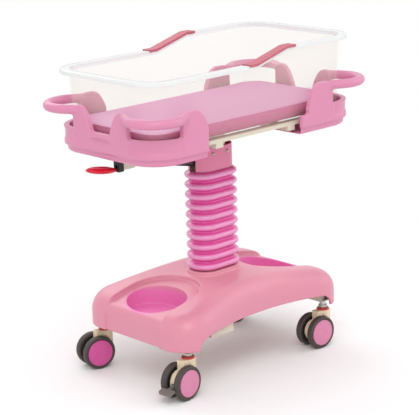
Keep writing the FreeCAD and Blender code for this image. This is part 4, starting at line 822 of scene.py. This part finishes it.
def sleeve_pink():
    """The sleeve over the column's head."""
    f = Finish("sleeve_pink", Roughness=0.4, Coat_Weight=0.1, Coat_Roughness=0.3)
    x, y, z = f.parts(f.place())
    across = (x.size() - SLEEVE_STRAIGHT).at_least(0.0)
    out = (across * across + y * y).root()
    below_edge = 1 - z.eased(SLEEVE_TOP - 0.0012, SLEEVE_TOP - 0.0002)
    # Painted shade: the inner side and the top edge turn a deeper red pink.
    f.colour(f.mix(out.eased(*SLEEVE_SKIN) * below_edge, SLEEVE_INSIDE_SHADE, SLEEVE_PINK))
    f.bump(f.noise(800, 2), GRAIN, 0.1)
    return f.material


# %% [markdown]
# The bellows' rubber is paler on the folds and deeper between them, which the number stored on its
# points tells; the deeper pink is painted shade. The strips' rubber is darker between the ribs, as
# painted shade. The mattress has a smooth coated cover with a very slight sheen, and its side is
# darker than its top by painted shade. Its foot end lies in the shade of the grips, so it is mixed
# a little lighter there.

# %% Rubber and the mattress cover
FOLD_PINK, VALLEY_SHADE_PINK = rgb(231, 152, 198), rgb(219, 70, 154)
RIB_PINK, DIP_SHADE_PINK = rgb(205, 112, 128), rgb(174, 72, 90)
MATTRESS_SIDE_SHADE, MATTRESS_TOP = rgb(194, 86, 138), rgb(212, 144, 185)
MATTRESS_FOOT, MATTRESS_CLOUD = rgb(225, 168, 206), rgb(216, 152, 191)
MATTRESS_EDGE, FOOT_END = (0.7190, 0.7212), (0.21, 0.30)


def bellows_rubber():
    """The folded tube, paler on the folds and deeper between them as painted shade."""
    f = Finish("bellows_rubber", Roughness=0.3, Coat_Weight=0.5, Coat_Roughness=0.12)
    # Painted shade: the pink deepens between the folds.
    f.colour(f.mix(f.attribute("fold_depth").eased(0.25, 1.0), VALLEY_SHADE_PINK, FOLD_PINK))
    f.bump(f.noise(700, 2), GRAIN, 0.1)
    return f.material


def mattress_cover():
    """The mattress, with painted shade on its side and painted light at the foot end of its top."""
    f = Finish("mattress_cover", Specular_IOR_Level=0.3, Sheen_Weight=0.06, Sheen_Roughness=0.4)
    cloud = f.noise(5, 2)
    x, y, z = f.parts(f.place())
    top_pink = f.mix((0 - x).eased(*FOOT_END), MATTRESS_TOP, MATTRESS_FOOT)
    # Painted shade: the side takes a darker pink than the top.
    shade = f.mix(z.eased(*MATTRESS_EDGE), MATTRESS_SIDE_SHADE, top_pink)
    f.colour(f.mix((cloud - 0.3).limited() * 0.2, shade, MATTRESS_CLOUD))
    f.rough(0.56 + cloud * 0.12)
    f.bump(f.noise(420, 3), 0.0003, 0.15)
    return f.material


def strip_rubber():
    """The ribbed strips on the rim, darker between the ribs as painted shade."""
    f = Finish("strip_rubber", Roughness=0.45)
    x, y, z = f.parts(f.place())
    dip = (x * (2 * math.pi / RIB_PITCH)).sine() * 0.5 + 0.5
    # Painted shade: the pink darkens between the ribs.
    f.colour(f.mix(dip * (0.5 + f.noise(300, 2)).limited(), RIB_PINK, DIP_SHADE_PINK))
    f.bump(f.noise(900, 2), GRAIN, 0.15)
    return f.material


# %% [markdown]
# ## The clear plastic
# Clear sheet lets nearly all light through and adds a breath of grey. It is laid in as a nearly
# see-through surface with a sharp gloss on it, which also keeps its look in viewers that can't
# bend light. The thick rim is milkier.

# %% Clear plastic
STEP_BACK, STEP_LENGTH, STEP_RISE = 0.018, 0.115, 0.032
RIM_UNDERSIDE = 0.8493
WALL_SEEN, RIM_ADDS = 0.100, 0.76
WALL_GREY, RIM_WHITE = rgb(238, 229, 212), rgb(234, 236, 236)


def basin_clear():
    """The basin. Its rim rises by STEP_RISE over STEP_LENGTH, from just short of the middle."""
    f = Finish("basin_clear", Roughness=0.12, IOR=1.45, Specular_IOR_Level=0.4)
    x, y, z = f.parts(f.place())
    rise = ((x + STEP_BACK) / STEP_LENGTH).limited() * STEP_RISE
    rim = (z - rise - RIM_UNDERSIDE).eased(-0.0010, 0.0006)
    f.colour(f.mix(rim, WALL_GREY, RIM_WHITE))
    f.seen(WALL_SEEN + rim * RIM_ADDS)
    return f.material


# %% [markdown]
# ## Metals, tyres and small plastics
# Steel parts are powder coated in a warm cream, with the faint orange-peel of such paint. Bright
# parts are plain or zinc plated steel. Tyres are grey rubber with a dull tread. The discs of the
# foot far caster get a deeper pink, which is painted shade.

# %% Hard finishes
PAINT_GRAIN, PLASTIC_GRAIN, COARSE = 350, 500, 0.0003
SHADED_CASTER_X, SHADED_CASTER_Y = (0.10, 0.20), (0.05, 0.12)
HUB_PINK, HUB_PALE, HUB_SHADE_PINK = rgb(212, 128, 164), rgb(216, 136, 170), rgb(208, 84, 154)


def painted(name, colour, rough=0.4):
    """Powder coat on steel."""
    f = Finish(name, Base_Color=colour, Coat_Weight=0.2, Coat_Roughness=0.2)
    f.rough(rough + (f.noise(PAINT_GRAIN / 4, 2) - 0.5) * 0.15)
    f.bump(f.noise(PAINT_GRAIN, 2), COARSE, 0.15)
    return f.material


def metal(name, colour, rough):
    """Bare or plated steel, whose gloss changes a little from place to place."""
    f = Finish(name, Base_Color=colour, Metallic=1.0)
    f.rough(rough + (f.noise(120, 3, (1, 1, 8)) - 0.5) * 0.2)
    return f.material


def plastic(name, colour, second, rough, grain=PLASTIC_GRAIN):
    """Plastic or rubber that goes softly from one colour to a second."""
    f = Finish(name, Roughness=rough, Specular_IOR_Level=0.45)
    cloud = f.noise(60, 2)
    f.colour(f.mix(cloud, colour, second))
    f.rough(rough - 0.05 + cloud * 0.1)
    f.bump(f.noise(grain, 2), COARSE, 0.2)
    return f.material


def hub_pink():
    """The wheels' discs, deeper pink on the foot far caster as painted shade."""
    f = Finish("hub_pink", Roughness=0.35, Specular_IOR_Level=0.45)
    x, y, z = f.parts(f.place())
    # Painted shade: the foot far caster's discs turn a deeper pink.
    shaded_caster = (0 - x).eased(*SHADED_CASTER_X) * y.eased(*SHADED_CASTER_Y)
    f.colour(f.mix(shaded_caster, f.mix(f.noise(60, 2), HUB_PINK, HUB_PALE), HUB_SHADE_PINK))
    f.bump(f.noise(PLASTIC_GRAIN, 2), COARSE, 0.2)
    return f.material


# %% [markdown]
# All finishes go into one list under the names that the parts ask for. Paint, metal and plastic
# need only a colour or two and a roughness each.

# %% The list of finishes
FINISHES = {
    "moulded_pink": moulded_pink(),
    "bellows_rubber": bellows_rubber(),
    "sleeve_pink": sleeve_pink(),
    "mattress_cover": mattress_cover(),
    "strip_rubber": strip_rubber(),
    "basin_clear": basin_clear(),
    "frame_steel": painted("frame_steel", rgb(214, 204, 186)),
    "plain_steel": metal("plain_steel", rgb(196, 196, 196), 0.3),
    "zinc_steel": metal("zinc_steel", rgb(190, 186, 170), 0.38),
    "black_paint": painted("black_paint", rgb(24, 24, 26), 0.25),
    "black_plastic": plastic("black_plastic", rgb(26, 26, 27), rgb(34, 34, 35), 0.5),
    "lever_red": plastic("lever_red", rgb(206, 0, 36), rgb(214, 4, 46), 0.22, 90),
    "tyre_grey": plastic("tyre_grey", rgb(66, 57, 54), rgb(74, 65, 61), 0.55),
    "hub_pink": hub_pink(),
    "hood_beige": plastic("hood_beige", rgb(232, 212, 182), rgb(236, 218, 189), 0.45),
    "ring_red": plastic("ring_red", rgb(190, 66, 60), rgb(198, 76, 68), 0.4),
    "pedal_grey": plastic("pedal_grey", rgb(112, 104, 98), rgb(120, 112, 106), 0.6),
}
print("finishes", len(FINISHES))

# %% [markdown]
# Each CAD part names the finish it wants. Parts that stay as they are, and the new pieces, all take
# their material from that one list.

# %% Give every piece its finish
for part in frame["record"]["subparts"]:
    node = frame["nodes"][part["node"]]
    node.data.materials.clear()
    node.data.materials.append(FINISHES[part["material_slot"]])
    if not node.hide_render:
        smooth(node)
for piece in bpy.context.scene.objects:
    if piece.get("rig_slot") and piece.type == "MESH":
        piece.data.materials.clear()
        piece.data.materials.append(FINISHES[piece["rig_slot"]])

# %% [markdown]
# ## The studio
# A pale floor runs away to a white surrounding. It fades from paper, which takes the shadow, to a
# plain white glow.

# %% Floor
FLOOR_SIZE, FADE = 60, (0.5, 1.4)
WHITE, PAPER = (1, 1, 1, 1), (0.95, 0.95, 0.95, 1)
bpy.ops.mesh.primitive_plane_add(size=FLOOR_SIZE, location=(0, 0, 0))
floor = bpy.context.object
floor.name = "floor"
paper = Finish("floor_paper", Base_Color=PAPER, Roughness=1.0, Specular_IOR_Level=0.0)
x, y, z = paper.parts(paper.place())
far_out = (x * x + y * y).power(0.5).eased(*FADE)
glow = paper.node("ShaderNodeEmission", values={"Color": WHITE, "Strength": 1.0})[0]
both = paper.node("ShaderNodeMixShader", values=[far_out, paper.shader.outputs[0], glow])[0]
output = [n for n in paper.tree.nodes if n.type == "OUTPUT_MATERIAL"][0]
paper.tree.links.new(both, output.inputs["Surface"])
floor.data.materials.append(paper.material)

# %% [markdown]
# The world is white for the camera, and for rays that a gloss or clear plastic sends on. All other
# light from it is a little softer, so that the colours come out as they were mixed.

# %% Surroundings
SOFT_LIGHT, FULL_LIGHT = 0.84, 1.0
world = bpy.data.worlds.new("studio")
bpy.context.scene.world = world
world.use_nodes = True
tree = world.node_tree
tree.nodes.clear()
path = tree.nodes.new("ShaderNodeLightPath")
seen = path.outputs["Is Camera Ray"]
for ray in ("Is Transmission Ray", "Is Glossy Ray"):
    either = tree.nodes.new("ShaderNodeMath")
    either.operation = "MAXIMUM"
    tree.links.new(seen, either.inputs[0])
    tree.links.new(path.outputs[ray], either.inputs[1])
    seen = either.outputs[0]
strength = tree.nodes.new("ShaderNodeMapRange")
tree.links.new(seen, strength.inputs["Value"])
strength.inputs["To Min"].default_value = SOFT_LIGHT
strength.inputs["To Max"].default_value = FULL_LIGHT
sky = tree.nodes.new("ShaderNodeBackground")
sky.inputs["Color"].default_value = WHITE
tree.links.new(strength.outputs[0], sky.inputs["Strength"])
out = tree.nodes.new("ShaderNodeOutputWorld")
tree.links.new(sky.outputs[0], out.inputs["Surface"])

# %% [markdown]
# Three wide square lamps light the bassinet: one from the near left, a weak one from the right and
# one from behind that draws the edges. Wide lamps give soft shadows.

# %% Lamps
MIDDLE_OF_ALL = Vector((0, 0, 0.45))


def lamp(name, place, size, power):
    """A square lamp that looks at the middle of the bassinet."""
    bpy.ops.object.light_add(type="AREA", location=place)
    made = bpy.context.object
    made.name = name
    made.data.size = size
    made.data.energy = power
    made.rotation_euler = (MIDDLE_OF_ALL - Vector(place)).to_track_quat("-Z", "Y").to_euler()


lamp("key_lamp", (-2.2, -2.4, 3.6), 2.4, 60)
lamp("side_lamp", (2.8, -1.8, 2.2), 2.0, 15)
lamp("back_lamp", (0.6, 3.0, 3.0), 2.4, 31)

# %% [markdown]
# ## The camera
# A long lens from the near left, a little above the rim, and turned by a hair. Its turning is built
# from three directions: right, up and back.

# %% Camera
TURN, RISE, ROLL = math.radians(-43.11989), math.radians(15.20819), math.radians(-1.858116)
CAMERA_PLACE = (-2.906153, -3.094777, 1.586061)
SENSOR, FOCAL_PIXELS, FRAME_PIXELS = 36, 1574.49943, 419
right = Vector((math.cos(TURN), math.sin(TURN), 0))
back = Vector((math.sin(TURN) * math.cos(RISE), -math.cos(TURN) * math.cos(RISE), math.sin(RISE)))
up = back.cross(right)
across = right * math.cos(ROLL) + up * math.sin(ROLL)
above = up * math.cos(ROLL) - right * math.sin(ROLL)
bpy.ops.object.camera_add(location=CAMERA_PLACE)
camera = bpy.context.object
camera.name = "camera"
camera.rotation_euler = Matrix((across, above, back)).transposed().to_euler()
camera.data.sensor_width = SENSOR
camera.data.lens = FOCAL_PIXELS * SENSOR / FRAME_PIXELS
camera.data.clip_end = 100
print("lens mm", round(camera.data.lens, 1))
bpy.context.scene.camera = camera
bpy.context.scene.view_settings.view_transform = "Standard"
